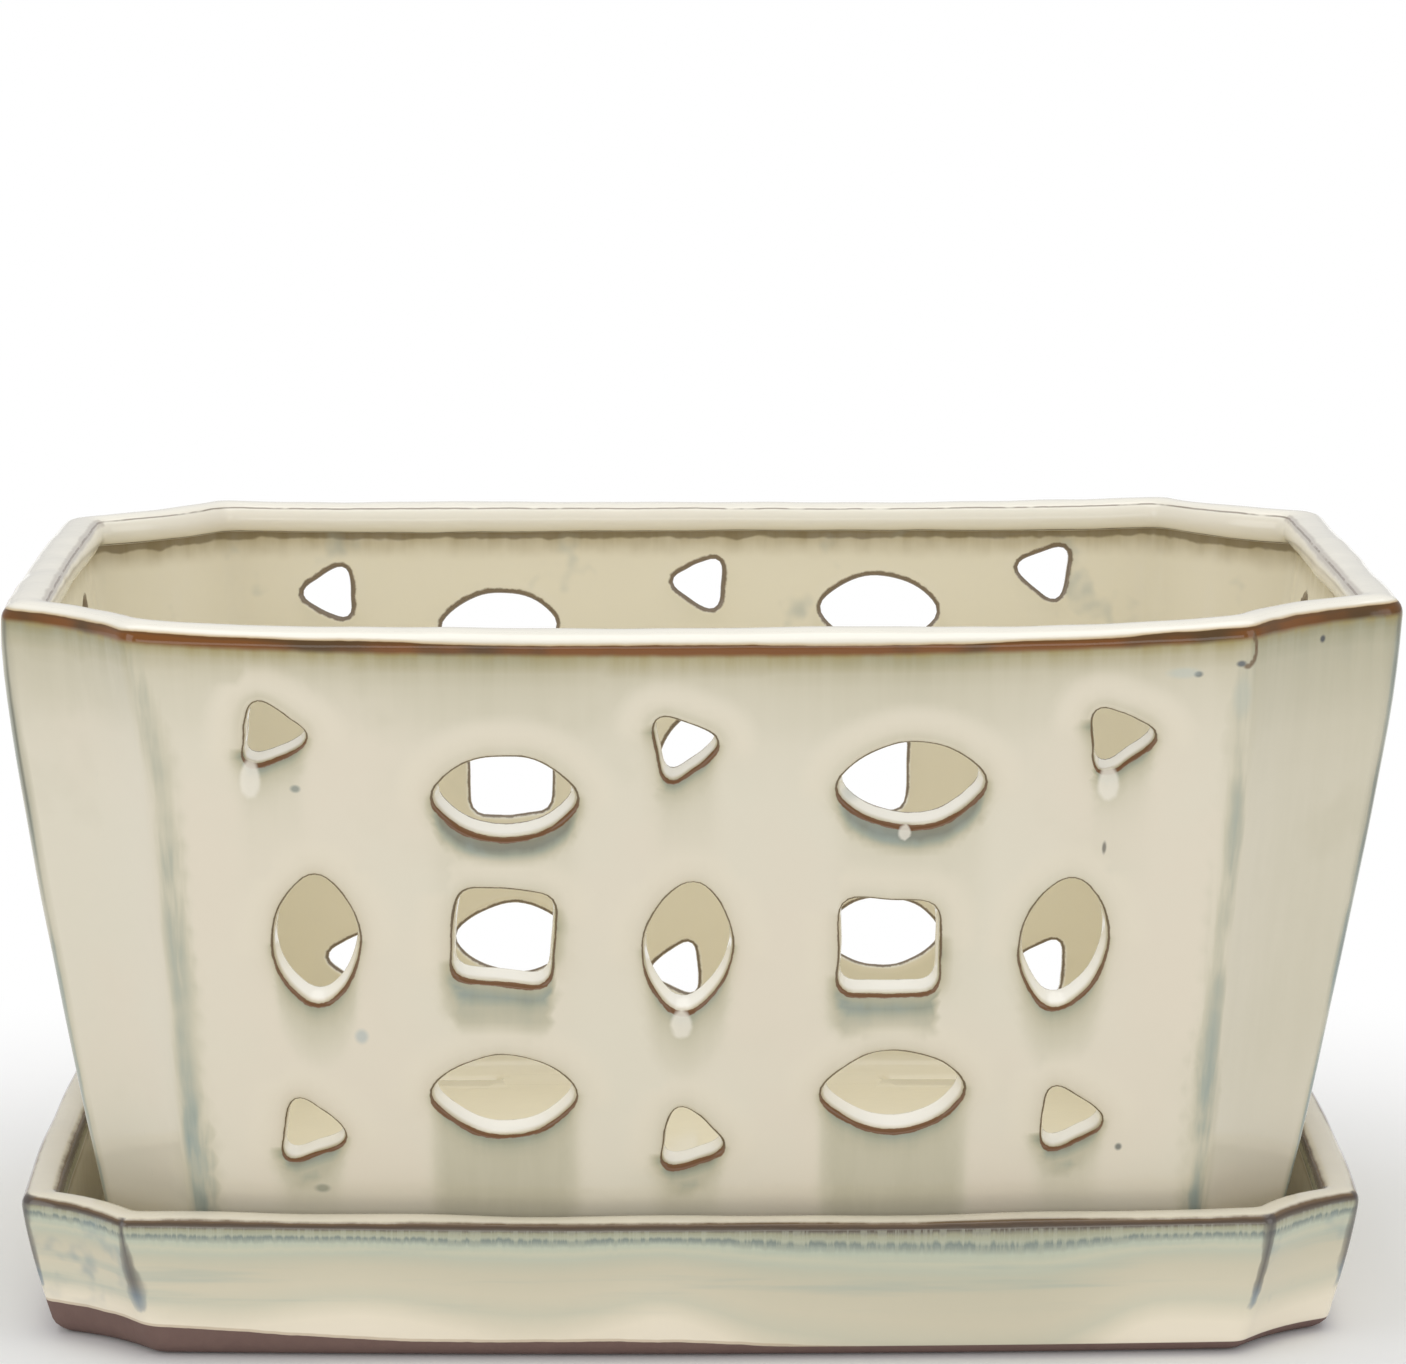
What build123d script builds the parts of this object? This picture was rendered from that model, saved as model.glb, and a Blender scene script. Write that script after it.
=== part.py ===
from build123d import *

import os
from math import atan, cos, hypot, sin

# A slip-cast orchid pot with pierced air slots, standing in its own drip saucer.
# X runs along the pot, the front face looks towards -Y, Z is up, and the
# saucer stands on the XY plane. All sizes are in millimetres.

# Pot body, measured from corner to corner without the bow of the faces
rim_length = 240.0
rim_width = 144.0
base_length = 203.0
base_width = 114.0
pot_height = 123.2
pot_wall = 5.5
long_bow = 2.4
short_bow = 1.4
corner_round = 4.0
inner_round = 4.5

# Scooped corners, as cut back along each face
rim_cut_long = 27.5
rim_cut_short = 23.0
base_cut_long = 15.5
base_cut_short = 14.0
scoop_share = 0.07

# The walls flare quickly at the foot and stand upright at the rim
flare_power_share = 1.4
level_shares = (0.0, 0.2, 0.4, 0.6, 0.8, 0.93, 1.0)

# Rolled rim
rim_thickness = 8.6
bead_height = 6.4
rim_edge_round = 3.0
mouth_edge_round = 2.4
bead_edge_round = 1.4

# Floor, drain holes and feet
foot_height = 5.0
foot_width = 9.0
floor_thickness = 6.0
base_edge_round = 1.6
cove_radius = 4.0
long_arch = 82.0
short_arch = 33.0
arch_round = 3.0
dimple_width = 5.0
dimple_depth = 2.0
drain_diameter = 21.0
drain_spacing = 91.0
drain_forward = 4.0

# Air slots
eye_length = 24.4
eye_width = 14.4
eye_tip_round = 2.6
tall_eye_length = 24.4
tall_eye_width = 14.6
tall_tip_round = 2.2
window_size = 16.8
window_round = 2.8
wedge_height = 14.2
wedge_depth = 12.6
wedge_bulge = 0.4
wedge_round = 1.9

# Saucer
end_play = 3.5
side_play = 1.4
saucer_wall = 5.5
saucer_rim = 7.0
saucer_height = 26.5
saucer_floor = 5.0
saucer_foot = 2.0
saucer_foot_width = 8.0
saucer_lean = 5.2
saucer_long_bow = 2.0
saucer_cut_long = 17.0
saucer_cut_short = 14.0
saucer_base_cut_short = 12.5
saucer_edge_round = 2.0
saucer_inner_round = 1.5
saucer_base_round = 2.5
saucer_cove = 3.0
saucer_level_shares = (0.0, 0.5, 1.0)

# Where the slots sit: share of half the face, share of the pot's height, tilt in degrees
front_wedge_shares = (
    (-0.773, 0.842, -7), (-0.031, 0.827, 9), (0.756, 0.834, 5),
    (-0.719, 0.266, -10), (-0.018, 0.256, -13), (0.682, 0.282, -6),
)
front_eye_shares = ((-0.351, 0.755, 0), (0.384, 0.772, 2), (-0.358, 0.321, 0), (0.359, 0.327, 2))
front_tall_eye_shares = ((-0.698, 0.548, 0), (-0.021, 0.540, -5), (0.666, 0.542, -8))
front_window_shares = ((-0.356, 0.556, -5), (0.347, 0.539, -1))

back_wedge_shares = (
    (-0.750, 0.875, 11), (-0.019, 0.851, 4), (0.774, 0.844, -4),
    (-0.739, 0.270, 3), (0.022, 0.262, -5), (0.717, 0.270, 4),
)
back_eye_shares = ((-0.394, 0.807, 3), (0.391, 0.786, -2), (-0.402, 0.303, 0), (0.375, 0.294, 2))
back_tall_eye_shares = ((-0.717, 0.545, 4), (0.0, 0.549, 3), (0.723, 0.545, -3))
back_window_shares = ((-0.367, 0.553, 3), (0.388, 0.547, -2))

end_wedge_shares = ((-0.59, 0.837, 4), (0.60, 0.840, -5), (-0.60, 0.268, -6), (0.57, 0.270, 3))
end_eye_shares = ((0.0, 0.771, 0), (0.01, 0.316, 2))
end_tall_eye_shares = ((-0.60, 0.545, -3), (0.59, 0.547, 4))
end_window_shares = ((0.0, 0.547, 2),)


def flare(share):
    """How far the walls have spread from base to rim at a share of the height."""
    return 1.0 - (1.0 - share) ** flare_power_share


def between(base, rim, share):
    return base + (rim - base) * flare(share)


def inset_cut(cut, other_cut, depth):
    """Length of a corner cut once the whole outline moves inwards by a depth."""
    slant = hypot(cut, other_cut)
    return cut - depth + depth * (slant - cut) / other_cut


def body_outline(length, width, cut_long, cut_short, bow_long, bow_short, depth, rounding):
    """Four bowed sides joined by scooped corners, all moved inwards by a depth."""
    half_l = length / 2 - depth
    half_w = width / 2 - depth
    cut_l = inset_cut(cut_long, cut_short, depth)
    cut_s = inset_cut(cut_short, cut_long, depth)
    scoop = scoop_share * hypot(cut_l, cut_s)
    mid_x = half_l - cut_l / 2 - scoop * cut_s / hypot(cut_l, cut_s)
    mid_y = half_w - cut_s / 2 - scoop * cut_l / hypot(cut_l, cut_s)
    side_x = half_l - cut_l
    side_y = half_w - cut_s
    with BuildSketch() as level:
        with BuildLine():
            ThreePointArc((-side_x, -half_w), (0, -half_w - bow_long), (side_x, -half_w))
            ThreePointArc((side_x, -half_w), (mid_x, -mid_y), (half_l, -side_y))
            ThreePointArc((half_l, -side_y), (half_l + bow_short, 0), (half_l, side_y))
            ThreePointArc((half_l, side_y), (mid_x, mid_y), (side_x, half_w))
            ThreePointArc((side_x, half_w), (0, half_w + bow_long), (-side_x, half_w))
            ThreePointArc((-side_x, half_w), (-mid_x, mid_y), (-half_l, side_y))
            ThreePointArc((-half_l, side_y), (-half_l - bow_short, 0), (-half_l, -side_y))
            ThreePointArc((-half_l, -side_y), (-mid_x, -mid_y), (-side_x, -half_w))
        make_face()
        fillet(level.vertices(), radius=rounding)
    return level.sketch


def pot_outline(share, depth, rounding):
    """Outline of the pot at a share of its height."""
    return body_outline(
        between(base_length, rim_length, share),
        between(base_width, rim_width, share),
        between(base_cut_long, rim_cut_long, share),
        between(base_cut_short, rim_cut_short, share),
        long_bow, short_bow, depth, rounding,
    )


def saucer_outline(share, depth, rounding):
    """Outline of the saucer at a share of its height, sized from the pot it holds."""
    inside_length = base_length + 2 * end_play
    inside_width = base_width + 2 * side_play
    return body_outline(
        inside_length + 2 * saucer_wall + 2 * saucer_lean * flare(share),
        inside_width + 2 * saucer_wall + 2 * saucer_lean * flare(share),
        saucer_cut_long,
        between(saucer_base_cut_short, saucer_cut_short, share),
        saucer_long_bow, short_bow, depth, rounding,
    )


# Where the pieces stand above the table
seat_level = saucer_foot + saucer_floor
floor_top = foot_height + floor_thickness
bead_level = pot_height - bead_height
cavity_height = bead_level - floor_top


# Slot shapes, each around its own middle
with BuildSketch() as eye:
    with BuildLine():
        ThreePointArc((-eye_length / 2, 0), (0, eye_width / 2), (eye_length / 2, 0))
        ThreePointArc((eye_length / 2, 0), (0, -eye_width / 2), (-eye_length / 2, 0))
    make_face()
    fillet(eye.vertices(), radius=eye_tip_round)

with BuildSketch() as tall_eye:
    with BuildLine():
        ThreePointArc((0, -tall_eye_length / 2), (tall_eye_width / 2, 0), (0, tall_eye_length / 2))
        ThreePointArc((0, tall_eye_length / 2), (-tall_eye_width / 2, 0), (0, -tall_eye_length / 2))
    make_face()
    fillet(tall_eye.vertices(), radius=tall_tip_round)

with BuildSketch() as window:
    RectangleRounded(window_size, window_size, window_round)

wedge_side = hypot(wedge_height / 2, wedge_depth)
wedge_heel = (-wedge_depth / 3, -wedge_height / 2)
wedge_tip = (2 * wedge_depth / 3, 0)
wedge_head = (-wedge_depth / 3, wedge_height / 2)
side_mid_x = wedge_depth / 6 + wedge_bulge * wedge_height / 2 / wedge_side
side_mid_y = wedge_height / 4 + wedge_bulge * wedge_depth / wedge_side

with BuildSketch() as wedge:
    with BuildLine():
        ThreePointArc(wedge_heel, (side_mid_x, -side_mid_y), wedge_tip)
        ThreePointArc(wedge_tip, (side_mid_x, side_mid_y), wedge_head)
        ThreePointArc(wedge_head, (-wedge_depth / 3 - wedge_bulge, 0), wedge_heel)
    make_face()
    fillet(wedge.vertices(), radius=wedge_round)


def slot_face(half_face, lean, wedges, eyes, tall_eyes, windows):
    """All the slots of one wall, drawn on the plane of that wall."""
    slope = pot_height / cos(lean)
    with BuildSketch() as face:
        for shape, places in ((wedge, wedges), (eye, eyes), (tall_eye, tall_eyes), (window, windows)):
            for x_share, z_share, tilt in places:
                with Locations((x_share * half_face, (z_share - 0.5) * slope)):
                    add(shape.sketch, rotation=tilt)
    return face.sketch


long_lean = atan((rim_width - base_width) / 2 / pot_height)
short_lean = atan((rim_length - base_length) / 2 / pot_height)
half_long = rim_length / 2 - rim_cut_long
half_short = rim_width / 2 - rim_cut_short
mid_width = between(base_width, rim_width, 0.5) / 2 + long_bow
mid_length = between(base_length, rim_length, 0.5) / 2 + short_bow
mid_level = seat_level + pot_height / 2
slot_reach = 2.5 * pot_wall

front_plane = Plane(
    origin=(0, -mid_width, mid_level), x_dir=(1, 0, 0), z_dir=(0, -cos(long_lean), -sin(long_lean))
)
back_plane = Plane(
    origin=(0, mid_width, mid_level), x_dir=(-1, 0, 0), z_dir=(0, cos(long_lean), -sin(long_lean))
)
right_plane = Plane(
    origin=(mid_length, 0, mid_level), x_dir=(0, 1, 0), z_dir=(cos(short_lean), 0, -sin(short_lean))
)
left_plane = Plane(
    origin=(-mid_length, 0, mid_level), x_dir=(0, -1, 0), z_dir=(-cos(short_lean), 0, -sin(short_lean))
)


with BuildPart() as hollow:
    # Space inside the walls, up to the underside of the rolled rim
    for share in level_shares:
        height = floor_top + share * cavity_height
        with BuildSketch(Plane.XY.offset(seat_level + height)):
            add(pot_outline(height / pot_height, pot_wall, inner_round))
    loft()
    fillet(hollow.faces().sort_by(Axis.Z)[0].edges(), radius=cove_radius)

with BuildPart() as pot:
    # Outer body
    for share in level_shares:
        with BuildSketch(Plane.XY.offset(seat_level + share * pot_height)):
            add(pot_outline(share, 0, corner_round))
    loft()
    fillet(pot.faces().sort_by(Axis.Z)[0].edges(), radius=base_edge_round)
    add(hollow.part, mode=Mode.SUBTRACT)

    # Mouth inside the rolled rim
    with BuildSketch(Plane.XY.offset(seat_level + bead_level)):
        add(pot_outline(1, rim_thickness, inner_round))
    extrude(amount=bead_height, mode=Mode.SUBTRACT)
    top = pot.faces().sort_by(Axis.Z)[-1]
    fillet(top.outer_wire().edges(), radius=rim_edge_round)
    top = pot.faces().sort_by(Axis.Z)[-1]
    fillet(top.inner_wires()[0].edges(), radius=mouth_edge_round)
    ledge = pot.faces().filter_by(Axis.Z).filter_by(
        lambda face: abs(face.center().Z - seat_level - bead_level) < bead_edge_round
    )[0]
    fillet(ledge.inner_wires()[0].edges(), radius=bead_edge_round)

    # Underside: a raised floor on four corner feet, with an arch in each side
    with BuildSketch(Plane.XY.offset(seat_level)):
        add(pot_outline(0, foot_width, inner_round))
    extrude(amount=foot_height, mode=Mode.SUBTRACT)
    with BuildSketch(Plane.XZ.offset(-rim_width)):
        with Locations((0, seat_level)):
            RectangleRounded(long_arch, 2 * foot_height, arch_round)
    extrude(amount=2 * rim_width, mode=Mode.SUBTRACT)
    with BuildSketch(Plane.YZ.offset(-rim_length)):
        with Locations((0, seat_level)):
            RectangleRounded(short_arch, 2 * foot_height, arch_round)
    extrude(amount=2 * rim_length, mode=Mode.SUBTRACT)

    # Hollows of the feet, which show as shallow channels round the floor
    with BuildSketch(Plane.XY.offset(seat_level + floor_top)):
        add(pot_outline(floor_top / pot_height, pot_wall + dimple_width / 2, inner_round))
        add(
            pot_outline(floor_top / pot_height, pot_wall + 1.5 * dimple_width, inner_round),
            mode=Mode.SUBTRACT,
        )
        Rectangle(long_arch, rim_width, mode=Mode.SUBTRACT)
        Rectangle(rim_length, short_arch, mode=Mode.SUBTRACT)
    extrude(amount=-dimple_depth, mode=Mode.SUBTRACT)

    # Drain holes
    with Locations((0, -drain_forward, seat_level + floor_top)):
        with GridLocations(drain_spacing, 0, 2, 1):
            Hole(radius=drain_diameter / 2)

    # Air slots through each wall
    with BuildSketch(front_plane):
        add(slot_face(half_long, long_lean, front_wedge_shares, front_eye_shares,
                      front_tall_eye_shares, front_window_shares))
    extrude(amount=slot_reach, both=True, mode=Mode.SUBTRACT)
    with BuildSketch(back_plane):
        add(slot_face(half_long, long_lean, back_wedge_shares, back_eye_shares,
                      back_tall_eye_shares, back_window_shares))
    extrude(amount=slot_reach, both=True, mode=Mode.SUBTRACT)
    for end_plane in (left_plane, right_plane):
        with BuildSketch(end_plane):
            add(slot_face(half_short, short_lean, end_wedge_shares, end_eye_shares,
                          end_tall_eye_shares, end_window_shares))
        extrude(amount=slot_reach, both=True, mode=Mode.SUBTRACT)


with BuildPart() as well:
    # Space inside the saucer
    for share in saucer_level_shares:
        depth = saucer_wall + (saucer_rim - saucer_wall) * share
        level = seat_level + share * (saucer_height - seat_level)
        with BuildSketch(Plane.XY.offset(level)):
            add(saucer_outline(level / saucer_height, depth, inner_round))
    loft()
    fillet(well.faces().sort_by(Axis.Z)[0].edges(), radius=saucer_cove)

with BuildPart() as saucer:
    for share in saucer_level_shares:
        with BuildSketch(Plane.XY.offset(share * saucer_height)):
            add(saucer_outline(share, 0, corner_round))
    loft()
    fillet(saucer.faces().sort_by(Axis.Z)[0].edges(), radius=saucer_base_round)
    add(well.part, mode=Mode.SUBTRACT)
    top = saucer.faces().sort_by(Axis.Z)[-1]
    fillet(top.outer_wire().edges(), radius=saucer_edge_round)
    top = saucer.faces().sort_by(Axis.Z)[-1]
    fillet(top.inner_wires()[0].edges(), radius=saucer_inner_round)
    with BuildSketch():
        add(saucer_outline(0, saucer_foot_width, inner_round))
    extrude(amount=saucer_foot, mode=Mode.SUBTRACT)

os.makedirs("parts", exist_ok=True)
pot.part.label = "pot"
saucer.part.label = "saucer"
export_step(pot.part, "parts/pot.step")
export_step(saucer.part, "parts/saucer.step")
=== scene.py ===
import math
import random
from collections import namedtuple
from functools import partialmethod

import bpy
import numpy as np
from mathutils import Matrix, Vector
from mathutils.geometry import delaunay_2d_cdt


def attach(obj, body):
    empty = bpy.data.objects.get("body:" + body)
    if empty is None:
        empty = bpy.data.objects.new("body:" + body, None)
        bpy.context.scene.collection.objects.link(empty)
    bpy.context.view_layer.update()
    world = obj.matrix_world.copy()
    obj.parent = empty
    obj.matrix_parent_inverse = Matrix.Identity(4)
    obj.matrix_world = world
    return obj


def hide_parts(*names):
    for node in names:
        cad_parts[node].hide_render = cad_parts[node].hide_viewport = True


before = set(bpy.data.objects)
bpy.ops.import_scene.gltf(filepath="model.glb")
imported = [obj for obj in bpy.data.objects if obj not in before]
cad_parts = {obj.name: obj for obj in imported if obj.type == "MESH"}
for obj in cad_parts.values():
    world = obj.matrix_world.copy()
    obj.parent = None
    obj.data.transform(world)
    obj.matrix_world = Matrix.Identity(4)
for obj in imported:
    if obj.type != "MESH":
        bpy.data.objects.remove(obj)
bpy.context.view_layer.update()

# All shapes below are worked out in millimetres in the part's own frame and turned into metres at the end.
MM = 0.001
FAR = 99.0            # distance given to points that have no slot or rim near
ANY_PHASE = 6.28      # random waves start anywhere in a full turn
OUTER, RIM, INNER, UNDERSIDE, FLOOR, CUT, DRAIN = range(7)      # kinds of surface
ROW_GAP = 0.87        # rows of a triangle grid are closer than its points

# Sizes of the pot
SEAT = 7.0            # the pot stands on the saucer's floor at this height
POT_H = 123.2
TOP = SEAT + POT_H
MIDDLE = SEAT + POT_H / 2
WALL, FOOT_H, FLOOR_THICK, COVE = 5.5, 5.0, 6.0, 4.0
UNDER = SEAT + FOOT_H
FLOOR_TOP = UNDER + FLOOR_THICK
BASE_L, BASE_W = 203.0, 114.0
RIM_L, RIM_W = 240.0, 144.0
FLARE = 1.4           # the walls flare quickly at the foot and stand upright at the rim
SCOOP = 0.07          # depth of a scooped corner as a share of its width
BOWS = (2.4, 0.2, 2.4, 0.6)      # front, right, back and left side
LONG_BOW, SHORT_BOW = 2.4, 1.4   # bows of the solids, which the slots follow
EDGE_ROUND = 2.3      # S is averaged over this much on both sides, which rounds the upright edges
# cuts of the corners along the long and the short side, at base and rim: front right, back right, back left,
# front left
LONG_CUTS = ((15.5,) * 4, (28.6, 28.0, 27.5, 27.5))
SHORT_CUTS = ((14.0,) * 4, (23.0,) * 4)
# heights between which the walls are filled round their slots
OUT_LOW, OUT_HIGH = SEAT + 12.0, TOP - 5.3
IN_LOW, IN_HIGH = FLOOR_TOP + 4.2, TOP - 6.5
SAG_LOW = 108.0       # the rim's sag starts at this height
# half widths of the four arches between the feet, which S stretches on the long sides
ARCH_STRETCH, ARCH_ROUND = 1.06, 3.0
ARCH_HALVES = (41.0 * ARCH_STRETCH, 16.5) * 2
DRAIN_R, DRAIN_X, DRAIN_Y, DRAIN_POINTS = 10.5, 45.5, -4.0, 64


def flare(share):
    return 1.0 - np.clip(1.0 - share, 0.0, 1.0) ** FLARE


def between(pair, share):
    """A size at a share of the height, from its value at the base to that at the rim."""
    return pair[0] + (pair[1] - pair[0]) * flare(share)


def smoothstep(lo, hi, v):
    x = np.clip((v - lo) / (hi - lo), 0, 1)
    return x * x * (3 - 2 * x)


def hump(v, middle, width):
    """1 at the middle, falling away smoothly on both sides."""
    return np.exp(-((v - middle) / width) ** 2)


def run_along(points):
    """Distance run along a line of points, at each of them."""
    return np.concatenate([[0.0], np.cumsum(np.linalg.norm(np.diff(points, axis=0), axis=1))])


def pot_share(z):
    return (np.asarray(z, float) - SEAT) / POT_H


def hand_warp(share):
    """How far a hand-finished pot leans at the front and the back of its left end, at its right end and at
    its front left corner."""
    waist = 0.5 * smoothstep(0.2, 0.5, share)
    left = waist - 0.42 * hump(share, 0.84, 0.12) + 0.6 * smoothstep(0.92, 1.02, share)
    back = waist - 1.4 * smoothstep(0.5, 0.95, share)
    right = -0.45 + 1.5 * smoothstep(0.33, 0.97, share)
    corner = 5.2 * np.clip((share - 0.76) / 0.24, 0, 1) ** 2 - 0.8 * smoothstep(0.9, 1.0, share)
    return left, back, right, corner


def dish_warp(share):
    """The saucer's left end sits a little further out, and its right end a little in."""
    return [shift * np.ones_like(share) for shift in (-1.9, -1.9, -0.4, -1.7)]


class Outline:
    """A closed outline of four bowed sides and four scooped corners, which changes with height.
    S runs round it in millimetres at the rim, from the front left corner, seen from above anticlockwise."""

    def __init__(self, length, width, long_cuts, short_cuts, bows, soften, warp):
        self.length, self.width = length, width
        self.long_cuts, self.short_cuts = long_cuts, short_cuts
        self.bows, self.soften, self.warp = np.array(bows), soften, warp
        rim = self.corners(np.array([1.0]), np.array([0.0]))[0]
        self.runs = np.linalg.norm(np.roll(rim, -1, axis=0) - rim, axis=1)
        self.starts = np.concatenate([[0.0], np.cumsum(self.runs)])
        self.total = self.starts[-1]

    def corners(self, share, depth):
        """The eight corner points at a share of the height and a depth in the wall."""
        hl = between(self.length, share) / 2 - depth
        hw = between(self.width, share) / 2 - depth
        x, y = [], []
        for c in range(4):
            a = between((self.long_cuts[0][c], self.long_cuts[1][c]), share)
            b = between((self.short_cuts[0][c], self.short_cuts[1][c]), share)
            slant = np.hypot(a, b)
            x.append(hl - (a - depth + depth * (slant - a) / b))
            y.append(hw - (b - depth + depth * (slant - b) / a))
        pts = [(-x[3], -hw), (x[0], -hw), (hl, -y[0]), (hl, y[1]),
               (x[1], hw), (-x[2], hw), (-hl, y[2]), (-hl, -y[3])]
        out = np.stack([np.stack(p, axis=-1) for p in pts], axis=1)
        left, back, right, corner = self.warp(share)
        out[:, [0, 7], 0] += left[:, None]
        out[:, [5, 6], 0] += back[:, None]
        out[:, [1, 2, 3, 4], 0] += right[:, None]
        out[:, 0, 0] -= corner
        return out

    def face_of(self, s):
        """0, 2, 4 and 6 on the front, right, back and left side, and odd numbers on the corners between."""
        return np.clip(np.searchsorted(self.starts, np.mod(s, self.total), side="right") - 1, 0, 7)

    def middle(self, face):
        return self.starts[face] + self.runs[face] / 2

    def sharp(self, s, share, depth):
        """Points at S before the edges between the faces are rounded."""
        s = np.mod(s, self.total)
        k = self.face_of(s)
        u = (s - self.starts[k]) / self.runs[k]
        v = self.corners(share, depth)
        i = np.arange(len(s))
        a, b = v[i, k], v[i, (k + 1) % 8]
        chord = b - a
        length = np.linalg.norm(chord, axis=1)
        n = np.stack([chord[:, 1], -chord[:, 0]], axis=1) / length[:, None]
        bow = np.where(k % 2 == 1, -SCOOP * length, self.bows[k // 2])
        return a + chord * u[:, None] + n * (bow * 4 * u * (1 - u))[:, None]

    def xy(self, s, share, depth):
        s = np.asarray(s, float)
        share = np.broadcast_to(np.asarray(share, float), s.shape)
        depth = np.broadcast_to(np.asarray(depth, float), s.shape)
        steps = np.linspace(-1, 1, 9)
        return sum(self.sharp(s + step * self.soften, share, depth) for step in steps) / len(steps)

    def s_at(self, side, t, share, depth):
        """S of a point at distance t along one of the four sides (0 front, 1 right, 2 back, 3 left)."""
        k = 2 * side
        axis = np.array(((1, 0), (0, 1), (-1, 0), (0, -1))[side])
        v = self.corners(share, depth)
        t0, t1 = v[:, k] @ axis, v[:, (k + 1) % 8] @ axis
        return self.starts[k] + (t - t0) / (t1 - t0) * self.runs[k]

    def edge_lines(self, s):
        """Signed distance to the nearest of the eight upright edges, and its number."""
        away = np.mod(s, self.total)[:, None] - self.starts[None, :8]
        away = (away + self.total / 2) % self.total - self.total / 2
        which = np.abs(away).argmin(axis=1)
        return away[np.arange(len(s)), which], which


POT = Outline((BASE_L, RIM_L), (BASE_W, RIM_W), LONG_CUTS, SHORT_CUTS, BOWS, EDGE_ROUND, hand_warp)


# Slots as seen from outside, row by row: their kinds, and their share of half the side, share of the height
# and tilt in degrees
UPPER_KINDS = ("wedge",) * 3 + ("eye",) * 2
LONG_KINDS = UPPER_KINDS + ("tall", "window") * 2 + ("tall",) + UPPER_KINDS[::-1]
END_KINDS = ("wedge", "eye", "wedge", "tall", "window", "tall", "wedge", "eye", "wedge")
FRONT_SHARES = [
    (-0.773, 0.842, -7), (-0.031, 0.827, 9), (0.756, 0.834, 5), (-0.351, 0.755, 0), (0.384, 0.772, 2),
    (-0.698, 0.548, 0), (-0.356, 0.556, -5), (-0.021, 0.540, -5), (0.347, 0.539, -1), (0.666, 0.542, -8),
    (-0.358, 0.321, 0), (0.359, 0.327, 2), (-0.719, 0.266, -10), (-0.018, 0.256, -13), (0.682, 0.282, -6),
]
BACK_SHARES = [
    (-0.750, 0.870, 11), (-0.019, 0.851, 4), (0.766, 0.837, -4), (-0.394, 0.807, 3), (0.411, 0.781, -2),
    (-0.717, 0.545, 4), (-0.367, 0.553, 3), (0.0, 0.549, 3), (0.388, 0.547, -2), (0.723, 0.545, -3),
    (-0.402, 0.294, 0), (0.381, 0.285, 2), (-0.745, 0.240, 3), (0.031, 0.236, -5), (0.717, 0.256, 4),
]
END_SHARES = [
    (-0.59, 0.837, 4), (0.0, 0.771, 0), (0.60, 0.840, -5), (-0.60, 0.545, -3), (0.0, 0.547, 2),
    (0.59, 0.547, 4), (-0.60, 0.268, -6), (0.01, 0.316, 2), (0.57, 0.270, 3),
]
Wall = namedtuple("Wall", "kinds shares half lean spread bow")
LONG = (RIM_L / 2 - LONG_CUTS[1][3], math.atan((RIM_W - BASE_W) / 2 / POT_H), (BASE_W, RIM_W), LONG_BOW)
SHORT = (RIM_W / 2 - SHORT_CUTS[1][3], math.atan((RIM_L - BASE_L) / 2 / POT_H), (BASE_L, RIM_L), SHORT_BOW)
END_WALL = Wall(END_KINDS, END_SHARES, *SHORT)
WALLS = (Wall(LONG_KINDS, FRONT_SHARES, *LONG), END_WALL, Wall(LONG_KINDS, BACK_SHARES, *LONG), END_WALL)
# the cut faces slope up towards the inside by the sill's height at the lowest point
Kind = namedtuple("Kind", "width height points rounding sill")
KINDS = {
    "eye": Kind(26.0, 14.6, 60, 2.6, 1.4), "tall": Kind(14.7, 25.0, 60, 2.9, 1.9),
    "window": Kind(16.4, 16.4, 60, 3.0, 1.2), "wedge": Kind(11.0, 13.1, 48, 3.4, 1.1),
}
FEWER_POINTS = 14     # on the walls that the camera doesn't face
WINDOW_BULGE, WEDGE_BULGE = 0.25, 0.45
WANDER = ((2, 0.10), (3, 0.14), (4, 0.12), (5, 0.10), (7, 0.06))      # lobes and sizes of a hand-cut edge


def soften_loop(pts, window):
    """Rounds the corners of a closed line of evenly spaced points."""
    step = np.linalg.norm(np.roll(pts, -1, axis=0) - pts, axis=1).mean()
    reach = max(1, int(round(window / step)))
    return sum(np.roll(pts, i, axis=0) for i in range(-reach, reach + 1)) / (2 * reach + 1)


def even_loop(pts, n):
    """Closed line resampled to n evenly spaced points."""
    closed = np.vstack([pts, pts[:1]])
    d = run_along(closed)
    at = np.linspace(0, d[-1], n, endpoint=False)
    return np.stack([np.interp(at, d, closed[:, 0]), np.interp(at, d, closed[:, 1])], axis=1)


def arc_pair(half, rise):
    """Two arcs that meet at points half away from the middle."""
    r = (half * half + rise * rise) / (2 * rise)
    a = math.asin(half / r)
    ang = np.linspace(-a, a, 120, endpoint=False)
    up = np.stack([r * np.sin(ang), r * np.cos(ang) - (r - rise)], axis=1)
    return np.vstack([up, -up])


def bulged(corners, rise):
    """A closed line through the corners, with each side bowed outwards."""
    out = []
    for a, b in zip(corners, np.roll(corners, -1, axis=0)):
        n = np.array([b[1] - a[1], a[0] - b[0]]) / np.linalg.norm(b - a)
        u = np.linspace(0, 1, 24, endpoint=False)[:, None]
        out.append(a + (b - a) * u + n * rise * 4 * u * (1 - u))
    return np.vstack(out)


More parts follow.
